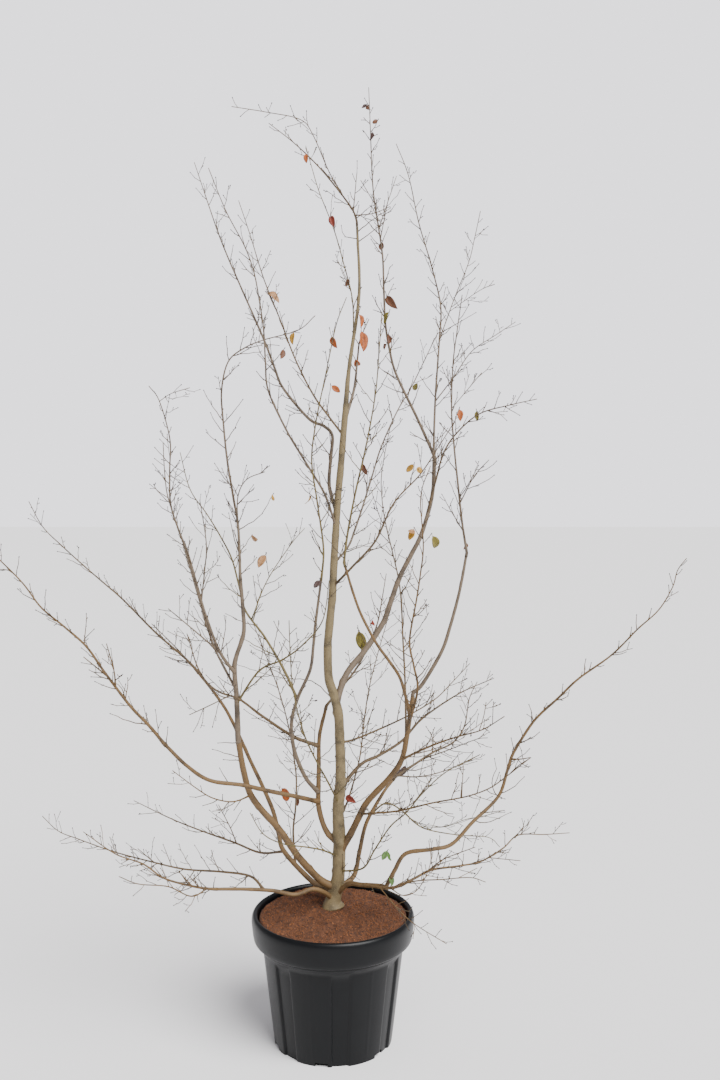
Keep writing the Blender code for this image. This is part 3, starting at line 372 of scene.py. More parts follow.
    Spray("spray_right_under", "bough_right_low", (8, 47.3, -6), (6, 2.2), 9,
          ((17, 46.6, -15), (25, 48.5, -22), (33, 49, -29), (41.5, 49.6, -35), (46.2, 48.2, -39)),
          (((14, 46.7, -12), (20, 39.5, -20), (25, 35, -25), (34.5, 29, -32)),
           ((17, 46.6, -15), (21.5, 44, -18), (26, 46.3, -19), (29.5, 54, -20), (29, 61, -21)),
           ((38, 49.4, -32), (43.6, 52.5, -30)))),
    Spray("spray_right_mid", "bough_right_main", (8.3, 69, -3), (7, 2.4), 12,
          ((12, 69.4, -9), (20, 70.2, -15), (30, 72.6, -23), (40, 74.5, -30), (47, 77, -35),
           (52, 80.5, -39), (59.3, 86.3, -44)),
          (((20.5, 70.4, -15), (24.5, 73, -20), (29.8, 80.3, -25)),
           ((39, 74.3, -29), (39.3, 84, -31)))),
    Spray("spray_right_cross", "bough_right_second", (11.5, 69.5, 8), (6, 2.2), 11,
          ((16, 72.5, 13), (20.5, 70.5, 16), (25, 66.3, 19), (29, 64.3, 21), (38, 62.7, 25),
           (47, 62, 29), (50.5, 59, 31)),
          (((27, 65, 20), (34, 65.3, 16), (40, 67.5, 13), (46, 68.7, 10), (51.5, 70.3, 7)),)),
    Spray("spray_right_thin", "trunk", (1.6, 51.5, 0), (6, 2.2), 10,
          ((9, 52.5, -9), (12.5, 58, -14), (17.3, 65.3, -20), (22, 69.5, -26), (27, 75.5, -32),
           (34, 82, -38), (44.3, 87.4, -45))),
    Spray("spray_left_front", "trunk", (1.9, 56, 0), (6, 2.2), 11,
          ((-3, 58, -6), (-8, 59, -11), (-15, 60, -18), (-21, 63, -24), (-25, 69.5, -29))),
    Spray("spray_back_right", "trunk", (1.8, 66.5, 0), (7, 2.4), 16,
          ((4, 72, 13), (8, 86, 27), (11, 108, 42), (18, 134, 55))),
    Spray("spray_back_left", "bough_left_second", (-11, 54, 4), (7, 2.4), 16,
          ((-12, 64, 15), (-11, 80, 29), (-15, 103, 44), (-24, 128, 58))),
    Spray("spray_front_left", "trunk", (1.7, 72.5, 0), (6, 2.4), 15,
          ((-2, 80, -12), (-8, 92, -24), (-12, 108, -36), (-13, 128, -46))),
)

# Stage
KEY_FROM = (0.75, -0.85, 1.35)
KEY_SOFTNESS = math.radians(42)
ROOM_COLOUR = (0.80, 0.79, 0.83)
FLOOR_REACH = 30.0
FLOOR_ROUGHNESS = 0.9

# Finer growth
FINE_STEP = 1.0 * CM
SHOOT_STEP = 2.0 * CM
BARK_STEP = 0.6 * CM
SHOOT_SPACING = 2.7 * CM
SHOOT_LENGTH = 0.8
SPUR_SPACING = 2.4 * CM
SPUR_LENGTH = 0.4
LAST_SPUR_LENGTH = 2.6 * CM
LONG_SHOOT = 4.0 * CM
SHOOTS_SKIPPED = 0.2
SPURS_SKIPPED = 0.4
LAST_SPURS_SKIPPED = 0.6
SHOOT_FIRST = (0.4, 1.0)
SHOOT_APART = (0.6, 1.4)
SHOOT_REACH = (0.3, 1.15)
SHOOT_FALL = 0.5
SHOOT_END = 0.97
SHOOT_TURN = 0.8
SHOOT_THICKEST = 3.2 * MM
SHOOT_SHARE = 1.5
SHOOT_TIP = 1.7 * MM
TWIG_END = 1.8 * MM
NODE_SPACING = 1.7 * CM
ZIGZAG = 0.9 * MM
ZIGZAG_SHARE = (0.5, 1.4)
FINE_SEED = 400
LONE_SEED = FINE_SEED - 1
BUD_SEED = FINE_SEED + 90
LEAF_SEED = FINE_SEED + 77
REACH_MARGIN = 6 * MM
POT_CLEAR = 0.02
MOST_TRIANGLES = 180_000
PIECE_FULL = 0.9 * MOST_TRIANGLES

# Bark relief, as shares of the radius, and lengths in metres
WAVES = ((0.030, 34, 1), (0.022, 71, -2))
GRAIN_HEIGHT = 0.012
SCAR_HEIGHT = 0.05
SCAR_WIDTH = 0.0035
SCARS_APART = (0.055, 0.075)
KNOTS_APART = 0.085
KNOT_HEIGHT = (0.10, 0.24)
KNOT_LENGTH = 0.007
KNOT_SPREAD = 0.55
COLLAR_LENGTH = 0.022
COLLAR = 0.3
BOUGH_COLLAR = 0.35
TRUNK_KNOTTED = 2.0
TRUNK_SEED = 11
BOUGH_SEED = 40

# Sides of each tube
TRUNK_AROUND = 28
BOUGH_AROUND = 18
STEM_AROUND = 8
TWIG_AROUND = 6
SHOOT_AROUND = 4
POINT_LENGTH = 1.2

# Each spray's bark: olive, orange-brown, lilac-grey or dark brown
BARK_OF = {
    "olive": ("spray_left_olive", "spray_inner_tall", "spray_right_front", "spray_right_cross",
              "spray_right_thin", "spray_left_front", "spray_tip_inner", "spray_front_left",
              "spray_left_brace"),
    "orange": ("spray_far_right", "spray_wide_left", "spray_skirt_lower", "spray_right_low",
               "spray_right_under", "spray_right_mid", "spray_right_fan_front", "spray_left_hook",
               "spray_right_middle"),
    "lilac": ("spray_left_arch", "spray_left_outer", "spray_left_pair", "spray_upper_left",
              "spray_twin_top", "spray_upper_left_outer", "spray_grey_purple", "spray_right_outer",
              "spray_top", "spray_right_straight"),
    "umber": ("spray_long_left", "spray_low_left", "spray_skirt_upper", "spray_left_side",
              "spray_centre_back", "spray_right_inner", "spray_far_right_up", "spray_trunk_right",
              "spray_upper_left_inner", "spray_tip", "spray_right_fan", "spray_right_side",
              "spray_right_dark", "spray_back_right", "spray_back_left"),
}
LILAC_BOUGHS = ("bough_left_high", "bough_grey_right", "bough_right_outer", "bough_inner_left")

# Last leaves, as seen from the front: across and up (cm), length (cm), tint
LEAVES = (
    (8.5, 276.4, 2.6, "brown"), (13.5, 274.7, 2.2, "brown"), (12, 270.6, 2.4, "dark"),
    (10.3, 278.7, 2, "dark"), (-7.4, 264, 2.6, "orange"), (-0.9, 245.8, 4.2, "red"),
    (15.6, 238.5, 3, "brown"), (15.3, 222, 5, "brown"), (19.1, 219, 4.4, "olive"),
    (16, 211.6, 3, "brown"), (15.4, 208, 3, "brown"), (8.8, 217, 4, "orange"), (7.9, 213, 6.4, "orange"),
    (6.6, 224.3, 2.6, "brown"), (6.6, 228.7, 2.4, "brown"), (9.3, 204.6, 4, "orange"),
    (-1.6, 211, 3.6, "orange"), (1.5, 199, 3.4, "orange"), (-11.4, 213.3, 3.6, "yellow"),
    (-20.4, 223.7, 5, "tan"), (-14.7, 207.3, 3, "brown"), (25.2, 198.5, 3.6, "olive"),
    (39, 191.7, 3.4, "orange"), (42.7, 190, 3, "olive"), (9.3, 173, 3.4, "brown"),
    (25.8, 173.3, 3.4, "yellow"), (22, 174, 3.2, "yellow"), (-6.8, 164.4, 3.4, "yellow"),
    (23.7, 157.5, 3.4, "yellow"), (23.4, 152.8, 3.4, "tan"), (32.3, 152.4, 5, "olive"),
    (38.2, 150.4, 3, "brown"), (-24, 151.5, 4, "tan"), (-20.7, 150, 4.6, "tan"),
    (-15.2, 167, 3.6, "yellow"), (-4.4, 141, 2.8, "dark"), (4.1, 123.7, 6.6, "olive"),
    (12.1, 126, 3.6, "red"), (-16.3, 75.8, 6, "orange"), (3.4, 73.2, 4, "red"),
    (-9.4, 72.1, 3.2, "brown"), (22, 83, 6, "dark"), (17.5, 57.6, 3, "green"), (19.6, 55.8, 3, "green"),
    (17.3, 51.9, 3, "green"),
)
TINTS = {
    "orange": (0.36, 0.085, 0.012), "red": (0.20, 0.026, 0.010), "brown": (0.13, 0.045, 0.015),
    "dark": (0.040, 0.015, 0.010), "tan": (0.36, 0.18, 0.07), "yellow": (0.42, 0.22, 0.022),
    "olive": (0.18, 0.145, 0.020), "green": (0.06, 0.13, 0.016),
}
LEAF_ROWS = 8
LEAF_COLUMNS = 4
LEAF_WIDTH = 0.56
LEAF_THICK = 0.4 * MM
LEAF_FOLD = (0.25, 0.9)
LEAF_CURL = 1.6
LEAF_EDGE_WAVE = 0.10
LEAF_VEIN = 0.5 * MM
LEAF_VEINS = 6
LEAF_LEAST_WIDTH = 0.4 * MM
LEAF_ABOVE = 0.3
LEAF_HANG = Vector((0, 0, -0.9))
LEAF_FACE = Vector((0, -1, 0.2))
LEAF_SPREAD = 0.7
STALK_SHARE = 0.14
STALK_BEND = 0.6 * MM
STALK_RADII = (0.7 * MM, 0.6 * MM, 0.6 * MM)
STALK_AROUND = 4
TINY = 1e-6

# Dark seed heads on short stalks, across and up (cm)
SEED_HEADS = (
    (-9, 165), (13, 160), (-16, 98.5), (-8, 104), (-13, 94), (4, 107.8), (6.5, 105), (4, 102.7),
    (8, 99.7), (12, 112), (-3.5, 106.5), (-1.7, 160), (2.8, 166), (9.3, 181.4), (11.5, 180.3), (-24, 118),
    (21, 131),
)
SEEDS_TOGETHER = (2, 4)
SEED_LIFT = Vector((0, 0, 0.4))
SEED_STALK = (6 * MM, 16 * MM)
SEED_SIZE = (1.2, 1.9)
BUD_SIZE = (0.6, 1.15)
END_BUD_SIZE = 1.3
BUD_AROUND = 4
BUD_TRIANGLES = 24
BUD_SHAPE = (0.5, 0.5, 1.0)
BUD_FORWARD = (0.0, 0.0, 0.6)
BUD_SPREAD = 0.8

# Short shoots that leave the limbs, across and up (cm)
SHOOTS = (
    ((53, 82), (55.5, 83.8), (58, 85.5), (59.3, 86.3)), ((51, 75.5), (54, 77), (57.5, 80.5)),
    ((49.8, 74), (48.3, 76.5), (48, 80), (49.2, 83), (48.6, 86)), ((54, 87), (54, 89), (56, 91.5)),
    ((46, 68.7), (51.5, 70.3)), ((43, 66.3), (46.5, 66.5), (53.6, 69.7)),
    ((-50, 90), (-50, 92), (-49.5, 95.5)), ((-55, 97), (-56, 99)),
    ((-62, 104.5), (-63.5, 108.3), (-66, 109.5)), ((-29, 86.5), (-33, 88), (-36, 89)),
    ((-28.5, 85), (-32.7, 85.8)), ((-29, 90.5), (-34.3, 91)), ((-31.3, 78.8), (-34, 83)),
    ((-44, 48), (-46.5, 51.3)), ((-38.5, 45), (-42, 50)), ((-36, 46.3), (-35.8, 49.5)),
    ((-52, 50.3), (-54.3, 53)), ((7.9, 242.4), (12.1, 245.9), (16.9, 248.9)),
    ((7.9, 239), (11.1, 241.8), (15.8, 245.7)), ((7.3, 246), (11.3, 249.6)),
    ((7.9, 240), (3.1, 241.1), (2.8, 243.9)), ((31.7, 213), (36.8, 215.8), (42, 218.8)),
    ((17, 185), (19.1, 190), (21, 194)), ((-22.4, 155), (-21.4, 159.3), (-17.6, 165.8)),
    ((-0.5, 105), (-6, 109.6), (-17, 111), (-29.5, 115)), ((15, 46.3), (21, 43.9), (26, 46.3)),
)
LONE_SHOOT_STEP = 0.6
LONE_SHOOT_THICKNESS = (3.4 * MM, 1.6 * MM)
LONE_SHOOT_AROUND = 5


class Finish(NamedTuple):
    """A mottled finish: its dark and light shades as shares of the colour, its scales and its bump."""
    dark: float
    light: float
    patch_scale: float
    speck_scale: float
    rough: float
    bump: float
    depth: float


FINISHES = {
    "plastic": Finish(0.75, 1.5, 14.0, 900.0, 0.24, 0.12, 0.0004),
    "peat": Finish(0.35, 2.1, 90.0, 620.0, 0.72, 0.9, 0.003),
    "crumbs": Finish(0.30, 2.4, 60.0, 500.0, 0.7, 0.6, 0.001),
    "bark": Finish(0.42, 1.5, 26.0, 420.0, 0.55, 0.5, 0.0012),
    "bud": Finish(0.6, 2.2, 80.0, 700.0, 0.5, 0.3, 0.0004),
    "leaf": Finish(0.5, 1.4, 120.0, 900.0, 0.5, 0.5, 0.0006),
}
PLASTIC_SPECULAR = 0.2
PATCH_EDGE = (0.48, 0.66)
PATCH_DETAIL = 4.0
SPECK_EDGE = (0.55, 0.70)
SPECK_DETAIL = 3.0
SPECK_ROUGH = 0.25


def colour_property(name, description, value):
    return bpy.props.FloatVectorProperty(
        name=name, description=description, subtype="COLOR", size=3, min=0.0, max=1.0, default=value)


def length_property(name, description, value):
    return bpy.props.FloatProperty(name=name, description=description, unit="LENGTH", default=value)


def number_property(name, description, value):
    return bpy.props.FloatProperty(name=name, description=description, default=value)


class PotSettings(bpy.types.PropertyGroup):
    """The pot and what fills it."""
    plastic: colour_property("Plastic", "Colour of the pot", (0.0022, 0.0027, 0.0033))
    panel_line: length_property("Panel line", "How far the line down each panel stands out", 0.0008)
    soil: colour_property("Soil", "Colour of the damp bark and peat", (0.080, 0.027, 0.0085))
    crumb: colour_property("Crumbs", "Colour of the loose bark crumbs", (0.165, 0.058, 0.018))
    crumbs: bpy.props.IntProperty(
        name="Crumbs per m2", description="How many crumbs lie on the soil", default=26000)
    crumb_size: length_property("Crumb size", "Length of a large crumb", 0.0115)


class PlantSettings(bpy.types.PropertyGroup):
    """The bark, the twigs and the last leaves."""
    trunk: colour_property("Trunk", "Olive-tan bark of the trunk", (0.158, 0.117, 0.054))
    orange: colour_property("Low boughs", "Orange-brown bark", (0.125, 0.071, 0.024))
    lilac: colour_property("High stems", "Lilac-grey bark", (0.125, 0.090, 0.058))
    olive: colour_property("Young shoots", "Olive bark", (0.120, 0.088, 0.027))
    umber: colour_property("Old shoots", "Dark brown bark", (0.096, 0.060, 0.026))
    twig: colour_property("Fine twigs", "Dark grey-brown bark", (0.080, 0.051, 0.022))
    bud: colour_property("Buds", "Nearly black buds", (0.014, 0.007, 0.005))
    bud_size: length_property("Bud size", "Half the bud's length", 0.0022)
    leaf_scale: number_property("Leaf scale", "Size of the leaves", 1.0)


class StageSettings(bpy.types.PropertyGroup):
    """The floor and the light."""
    floor: colour_property("Floor", "Colour of the floor", (0.86, 0.85, 0.85))
    key: number_property("Key light", "Strength of the soft light from the right", 6.4)
    room: number_property("Room light", "Strength of the light from all sides", 0.75)
    wall: number_property("Wall", "How bright the pale room shows", 2.5)


def from_front(place):
    """The point in metres of a place given by where it shows from the front and how far back it is."""
    across, up, back = (value * CM for value in place)
    on_plane = Vector((across, 0.0, up))
    slide = (back - EYE.y) / -EYE.y
    return EYE + (on_plane - EYE) * slide


def to_front(points):
    """Where points show on the upright plane through the trunk, across and up in cm."""
    points = np.asarray(points, float)
    slide = -EYE.y / (points[:, 1] - EYE.y)
    across = EYE.x + (points[:, 0] - EYE.x) * slide
    up = EYE.z + (points[:, 2] - EYE.z) * slide
    return np.stack([across, up], axis=1) / CM


def nearest_seen(points, across, up):
    """The index of the point that shows nearest a place."""
    seen = to_front(points)
    return np.argmin(np.hypot(seen[:, 0] - across, seen[:, 1] - up))


def smooth_line(points, step):
    """Points about step apart on a curve through all the given ones."""
    ends = [2 * points[0] - points[1], *points, 2 * points[-1] - points[-2]]
    line = [points[0]]
    for before, start, stop, after in zip(ends, ends[1:], ends[2:], ends[3:]):
        count = max(1, round((stop - start).length / step))
        for i in range(1, count + 1):
            t = i / count
            leave = (stop - before) * 0.5
            reach = (after - start) * 0.5
            line.append(
                start * (2 * t**3 - 3 * t**2 + 1) + leave * (t**3 - 2 * t**2 + t)
                + stop * (3 * t**2 - 2 * t**3) + reach * (t**3 - t**2))
    return line


def lengths_along(line):
    """How far along the line each of its points is, from 0 to 1."""
    sums = [0.0]
    for a, b in zip(line, line[1:]):
        sums.append(sums[-1] + (b - a).length)
    return [value / sums[-1] for value in sums]


def taper(line, foot, tip):
    """Radii along a line whose thickness falls evenly from foot to tip."""
    return [0.5 * (foot + (tip - foot) * t) for t in lengths_along(line)]


def nearest_on(line, place):
    """The point of a line that is nearest a place, and its index."""
    best = None
    for i, (a, b) in enumerate(zip(line, line[1:])):
        along = b - a
        t = min(1.0, max(0.0, (place - a).dot(along) / along.length_squared))
        point = a + along * t
        distance = (place - point).length
        if best is None or distance < best[0]:
            best = (distance, point, i)
    return best[1], best[2]


def ring_frames(line):
    """At each point of a line, two directions square to it, turned as little as possible."""
    frames = []
    side = None
    for i in range(len(line)):
        along = (line[min(i + 1, len(line) - 1)] - line[max(i - 1, 0)]).normalized()
        if side is None:
            side = along.cross(Vector((0.31, 0.95, 0.1))).normalized()
        side = (side - along * side.dot(along)).normalized()
        frames.append((side, along.cross(side)))
    return frames


class Grown:
    """A limb that has been worked out: its centre line and its radii."""

    def __init__(self, line, radii, sides):
        self.line = line
        self.radii = radii
        self.sides = sides

    def samples(self, step=SAMPLE_STEP):
        """Places along the limb with its radius there, for telling what is near it."""
        rows = []
        for a, b, ra, rb in zip(self.line, self.line[1:], self.radii, self.radii[1:]):
            count = max(1, math.ceil((b - a).length / step))
            for i in range(count):
                t = i / count
                rows.append((*(a + (b - a) * t), ra + (rb - ra) * t))
        rows.append((*self.line[-1], self.radii[-1]))
        return np.array(rows)


def grow_trunk():
    """The leading trunk, from its flared foot to its tip."""
    line = smooth_line([from_front(place) for place in TRUNK_LINE], 7 * CM)
    line[0] = Vector((line[1].x, line[1].y, SOIL_CENTRE_HEIGHT + GAP))
    heights = [h * CM for h, _ in TRUNK_THICKNESS]
    sizes = [0.5 * thick * MM for _, thick in TRUNK_THICKNESS]
    radii = [float(np.interp(point.z, heights, sizes)) for point in line]
    return Grown(line, radii, TRUNK_SIDES)


def grow_limb(row, grown, step, sides):
    """The limb of one row, from its parent's middle line or on from its parent's tip."""
    parent = grown[row.parent]
    places = [from_front(place) for place in row.through]
    if row.foot is TIP:
        ahead = (parent.line[-1] - parent.line[-2]).normalized()
        start = parent.line[-1] + ahead * GAP
        places = [start, start + ahead * 0.012, *places]
    else:
        places = [nearest_on(parent.line, from_front(row.foot))[0], *places]
    line = smooth_line(places, step)
    foot, tip = (value * MM for value in row.thickness)
    return Grown(line, taper(line, foot, tip), sides)


def grow_side_stem(stem, places, foot, tip):
    """A side stem of a spray, from the nearest place of the stem it leaves."""
    start, index = nearest_on(stem.line, from_front(places[0]))
    line = smooth_line([start, *[from_front(place) for place in places[1:]]], STEM_STEP)
    size = min(foot, 2 * TWIG_SHARE * stem.radii[index + 1])
    return Grown(line, taper(line, size, tip), 3)


def twig_line(start, along, out, length, rng):
    """The line of one twig: out from its stem, then bending up."""
    aim = along * math.cos(TWIG_ANGLE) + out * math.sin(TWIG_ANGLE)
    points = [start]
    for _ in range(TWIG_POINTS - 1):
        aim = (aim + Vector((0, 0, TWIG_LIFT / TWIG_POINTS)) + jitter(rng, 0.12)).normalized()
        points.append(points[-1] + aim * (length / (TWIG_POINTS - 1)))
    return points


def jitter(rng, size):
    return Vector((rng.uniform(-size, size), rng.uniform(-size, size), rng.uniform(-size, size)))


def is_clear(twig, others, skip):
    """True if a twig, past the first stretch by its foot, is clear of all the given samples."""
    rows = twig.samples()
    rows = rows[np.linalg.norm(rows[:, :3] - rows[0, :3], axis=1) > skip]
    if not len(rows) or not len(others):
        return True
    apart = np.linalg.norm(rows[:, None, :3] - others[None, :, :3], axis=2)
    return bool((apart - rows[:, None, 3] - others[None, :, 3] > TWIG_CLEAR).all())


def in_own_space(twig, own, others):
    """True if a twig's tip is nearer its own spray's stems than any other limb."""
    tip = np.array(twig.line[-1])
    to_own = np.linalg.norm(own[:, :3] - tip, axis=1).min()
    to_others = np.linalg.norm(others[:, :3] - tip, axis=1).min()
    return to_own < to_others


def grow_twigs(stem, length, rng, own, others, twigs):
    """Twigs in two ranks along a stem, each kept only if it is clear of every other limb."""
    total = sum((b - a).length for a, b in zip(stem.line, stem.line[1:]))
    share = lengths_along(stem.line)
    count = int(total * (1 - STEM_TIP_BARE) / TWIG_SPACING)
    turn = rng.uniform(0, math.tau)
    for k in range(1, count + 1):
        t = (k - 0.3 + rng.uniform(-0.2, 0.2)) * TWIG_SPACING / total
        if t > 1 - STEM_TIP_BARE:
            break
        index = max(i for i, value in enumerate(share) if value <= t)
        a, b = stem.line[index], stem.line[index + 1]
        start = a + (b - a) * ((t - share[index]) / (share[index + 1] - share[index]))
        along = (b - a).normalized()
        turn += math.pi + rng.uniform(-0.7, 0.7)
        side = along.cross(Vector((0, 0, 1)) if abs(along.z) < 0.9 else Vector((1, 0, 0))).normalized()
        out = Matrix.Rotation(turn, 3, along) @ side
        reach = length * (1 - 0.55 * t) * rng.uniform(0.6, 1.15)
        line = twig_line(start, along, out, reach, rng)
        foot = min(4 * MM, 2 * TWIG_SHARE * stem.radii[index + 1])
        twig = Grown(line, taper(line, foot, TWIG_TIP), 3)
        mates = [other.samples() for other in twigs]
        if not is_clear(twig, np.vstack([others, *mates]), 0.012 + 2 * stem.radii[index]):
            continue
        if in_own_space(twig, own, others):
            twigs.append(twig)


def grow_all():
    """Every limb's line, parents before the limbs that spring from them."""
    grown = {"trunk": grow_trunk()}
    for row in BOUGHS:
        grown[row.name] = grow_limb(row, grown, RING_STEP, BOUGH_SIDES)
    for row in SPRAYS:
        sides = 5 if row.thickness[0] > 9 else 3
        grown[row.name] = grow_limb(row, grown, STEM_STEP, sides)
    return grown


def length_of(line):
    return sum((b - a).length for a, b in zip(line, line[1:]))


def refined(limb, step):
    """The limb's line and radii with a point every step."""
    line = smooth_line(limb.line, step)
    radii = np.interp(lengths_along(line), lengths_along(limb.line), limb.radii)
    return line, list(radii)


def zigzag(line, rng):
    """A line with a node every so often, each pushed a little to the other side of the last."""
    count = max(2, round(length_of(line) / NODE_SPACING))
    spots = np.linspace(0, 1, count + 1)
    axes = [np.interp(spots, lengths_along(line), [point[i] for point in line]) for i in range(3)]
    nodes = [Vector(place) for place in zip(*axes)]
    slant = Vector((rng.uniform(-1, 1), rng.uniform(-1, 1), 0.3))
    side = (nodes[-1] - nodes[0]).cross(slant).normalized()
    out = nodes[:1]
    for k, node in enumerate(nodes[1:], 1):
        out.append(node + side * (ZIGZAG * rng.uniform(*ZIGZAG_SHARE) * (1 if k % 2 else -1)))
    return out


def shoots_along(line, radii, spacing, length, rng, skipped):
    """Thin shoots in two ranks along a line, less the given share of them."""
    total = length_of(line)
    share = lengths_along(line)
    found = []
    turn = rng.uniform(0, math.tau)
    place = spacing * rng.uniform(*SHOOT_FIRST)
    while place < total * SHOOT_END:
        t = place / total
        place += spacing * rng.uniform(*SHOOT_APART)
        turn += math.pi + rng.uniform(-SHOOT_TURN, SHOOT_TURN)
        if rng.random() < skipped:
            continue
        index = min(max(i for i, value in enumerate(share) if value <= t), len(line) - 2)
        a, b = line[index], line[index + 1]
        start = a.lerp(b, (t - share[index]) / (share[index + 1] - share[index]))
        along = (b - a).normalized()
        side = along.cross(Vector((0, 0, 1)) if abs(along.z) < 0.9 else Vector((1, 0, 0))).normalized()
        out = Matrix.Rotation(turn, 3, along) @ side
        reach = length * (1 - SHOOT_FALL * t) * rng.uniform(*SHOOT_REACH)
        course = zigzag(twig_line(start, along, out, reach, rng), rng)
        if in_reach(course):
            foot = min(SHOOT_THICKEST, SHOOT_SHARE * radii[index])
            found.append(Grown(course, taper(course, foot, SHOOT_TIP), SHOOT_AROUND))
    return found


def in_reach(line):
    """True if a line stays in the box of the solids and clear of the pot."""
    low, high = CAD_BOX
    for point in line:
        if any(point[i] < low[i] - REACH_MARGIN or point[i] > high[i] + REACH_MARGIN for i in range(3)):
            return False
        over_pot = math.hypot(point.x, point.y) < POT_RIM_RADIUS + POT_CLEAR
        if over_pot and point.z < POT_HEIGHT + POT_CLEAR:
            return False
    return True


class Plant:
    """Everything that has grown: limbs, stems, twigs and fine shoots, and the lines that bear buds."""

    def __init__(self):
        self.limbs = grow_all()
        self.stems = {}
        self.twigs = {}
        self.fine = {}
        self.budding = []
        near = {name: limb.samples() for name, limb in self.limbs.items()}
        for index, row in enumerate(SPRAYS):
            rng = random.Random(SPRAY_SEED + index)
            self.stems[row.name], self.twigs[row.name] = grow_spray(row, self.limbs, near, rng)
            self.fine[row.name] = self.fine_shoots(row, random.Random(FINE_SEED + index))
        self.lone = lone_shoots(self.limbs)

    def fine_shoots(self, row, rng):
        """The thin shoots along a spray's stems and twigs, and the spurs on the longer of them."""
        length = row.twig_length * CM
        fine = []
        for stem in self.stems[row.name]:
            line, radii = refined(stem, SHOOT_STEP)
            fine += shoots_along(line, radii, SHOOT_SPACING, SHOOT_LENGTH * length, rng, SHOOTS_SKIPPED)
        for twig in self.twigs[row.name]:
            line, radii = refined(twig, SHOOT_STEP)
            fine += shoots_along(line, radii, SPUR_SPACING, SPUR_LENGTH * length, rng, SPURS_SKIPPED)
        for shoot in list(fine):
            if (shoot.line[-1] - shoot.line[0]).length > LONG_SHOOT:
                fine += shoots_along(shoot.line, shoot.radii, SPUR_SPACING, LAST_SPUR_LENGTH, rng,
                                     LAST_SPURS_SKIPPED)
        return fine


@lru_cache(maxsize=1)
def plant():
    """The plant, grown once."""
    return Plant()


def grow_spray(row, limbs, near, rng):
    """One spray's stems and its larger twigs, by the rule of its solid."""
    foot, tip = (value * MM for value in row.thickness)
    stems = [limbs[row.name]]
    for places in row.side_stems:
        first = from_front(places[0])
        source = min(stems, key=lambda s: (nearest_on(s.line, first)[0] - first).length)
        stems.append(grow_side_stem(source, places, 0.7 * foot, tip))
    others = np.vstack([rows for name, rows in near.items() if name != row.name])
    own = np.vstack([each.samples() for each in stems])
    twigs = []
    for each in stems:
        grow_twigs(each, row.twig_length * CM, rng, own, others, twigs)
    near[row.name] = np.vstack([own, *[twig.samples() for twig in twigs]])
    return stems, twigs


def lone_shoots(limbs):
    """The shoots of the SHOOTS rows, each as far back as the limb that it leaves."""
    points = np.vstack([limb.samples(FINE_STEP)[:, :3] for limb in limbs.values()])
    rng = random.Random(LONE_SEED)
    found = []
    for row in SHOOTS:
        start = points[nearest_seen(points, *row[0])]
        back = start[1] / CM
        course = [from_front((x, z, back - LONE_SHOOT_STEP * k)) for k, (x, z) in enumerate(row)]
        course[0] = Vector(start)
        if len(course) < 3:
            course.insert(1, course[0].lerp(course[1], 0.5))
        line = zigzag(smooth_line(course, SHOOT_STEP), rng)
        if in_reach(line):
            found.append(Grown(line, taper(line, *LONE_SHOOT_THICKNESS), LONE_SHOOT_AROUND))
    return found


class Pile:
    """Points and faces of many small shapes, for one joined mesh."""

    def __init__(self):
        self.points = []
        self.faces = []
        self.count = 0
        self.triangles = 0

    def add(self, points, faces):
        self.points.append(np.asarray(points, float))
        self.faces += [tuple(self.count + i for i in face) for face in faces]
        self.count += len(points)
        self.triangles += sum(len(face) - 2 for face in faces)


def grid_faces(rows, columns, start=0, closed=True, flip=False):
    """Four-sided faces between the neighbouring points of a grid, whose rows may close on themselves."""
    faces = []
    for i in range(rows - 1):
        for k in range(columns if closed else columns - 1):
            a = start + i * columns + k
            b = start + i * columns + (k + 1) % columns
            face = (a, b, b + columns, a + columns)
            faces.append((a, a + columns, b + columns, b) if flip else face)
    return faces


def tube(pile, line, radii, sides, relief=None, pointed=True):
    """A closed round tube along a line, with relief as a share of its radius at (length, turn)."""
    frames = ring_frames(line)
    turns = np.arange(sides) * (math.tau / sides)
    centre = np.array([tuple(p) for p in line])
    side = np.array([tuple(a) for a, _ in frames])
    other = np.array([tuple(b) for _, b in frames])
    size = np.asarray(radii, float)[:, None] * np.ones((1, sides))
    if relief is not None:
        along = np.concatenate([[0.0], np.cumsum(np.linalg.norm(np.diff(centre, axis=0), axis=1))])
        size = size * (1 + relief(along[:, None], turns[None, :]))
    rings = (centre[:, None] + side[:, None] * (np.cos(turns)[None, :, None] * size[..., None])
             + other[:, None] * (np.sin(turns)[None, :, None] * size[..., None]))
    last_step = centre[-1] - centre[-2]
    ahead = last_step / max(1e-9, np.linalg.norm(last_step))
    tip = centre[-1] + ahead * (radii[-1] * (POINT_LENGTH if pointed else 0.0))
    points = np.vstack([rings.reshape(-1, 3), centre[0], tip])
    count = len(line)
    faces = grid_faces(count, sides)
    base, top = len(points) - 2, len(points) - 1
    last = (count - 1) * sides
    for k in range(sides):
        n = (k + 1) % sides
        faces.append((base, n, k))
        faces.append((top, last + k, last + n))
    pile.add(points, faces)


def add_thing(name, data):
    """An object with its data, in the scene."""
    thing = bpy.data.objects.new(name, data)
    bpy.context.scene.collection.objects.link(thing)
    return thing


def make_object(name, points, faces, material=None):
    """An object with a mesh of the points and faces."""
    data = bpy.data.meshes.new(name)
    data.from_pydata([tuple(point) for point in points], [], faces)
    if material is not None:
        data.materials.append(material)
    return add_thing(name, data)


def make_piece(name, pile, material, nodes):
    """One object from a pile, riding on the body, standing for the nodes."""
    thing = make_object(name, np.vstack(pile.points), pile.faces, material)
    thing.data.validate()
    thing.data.shade_smooth()
    return finish_piece(thing, nodes)


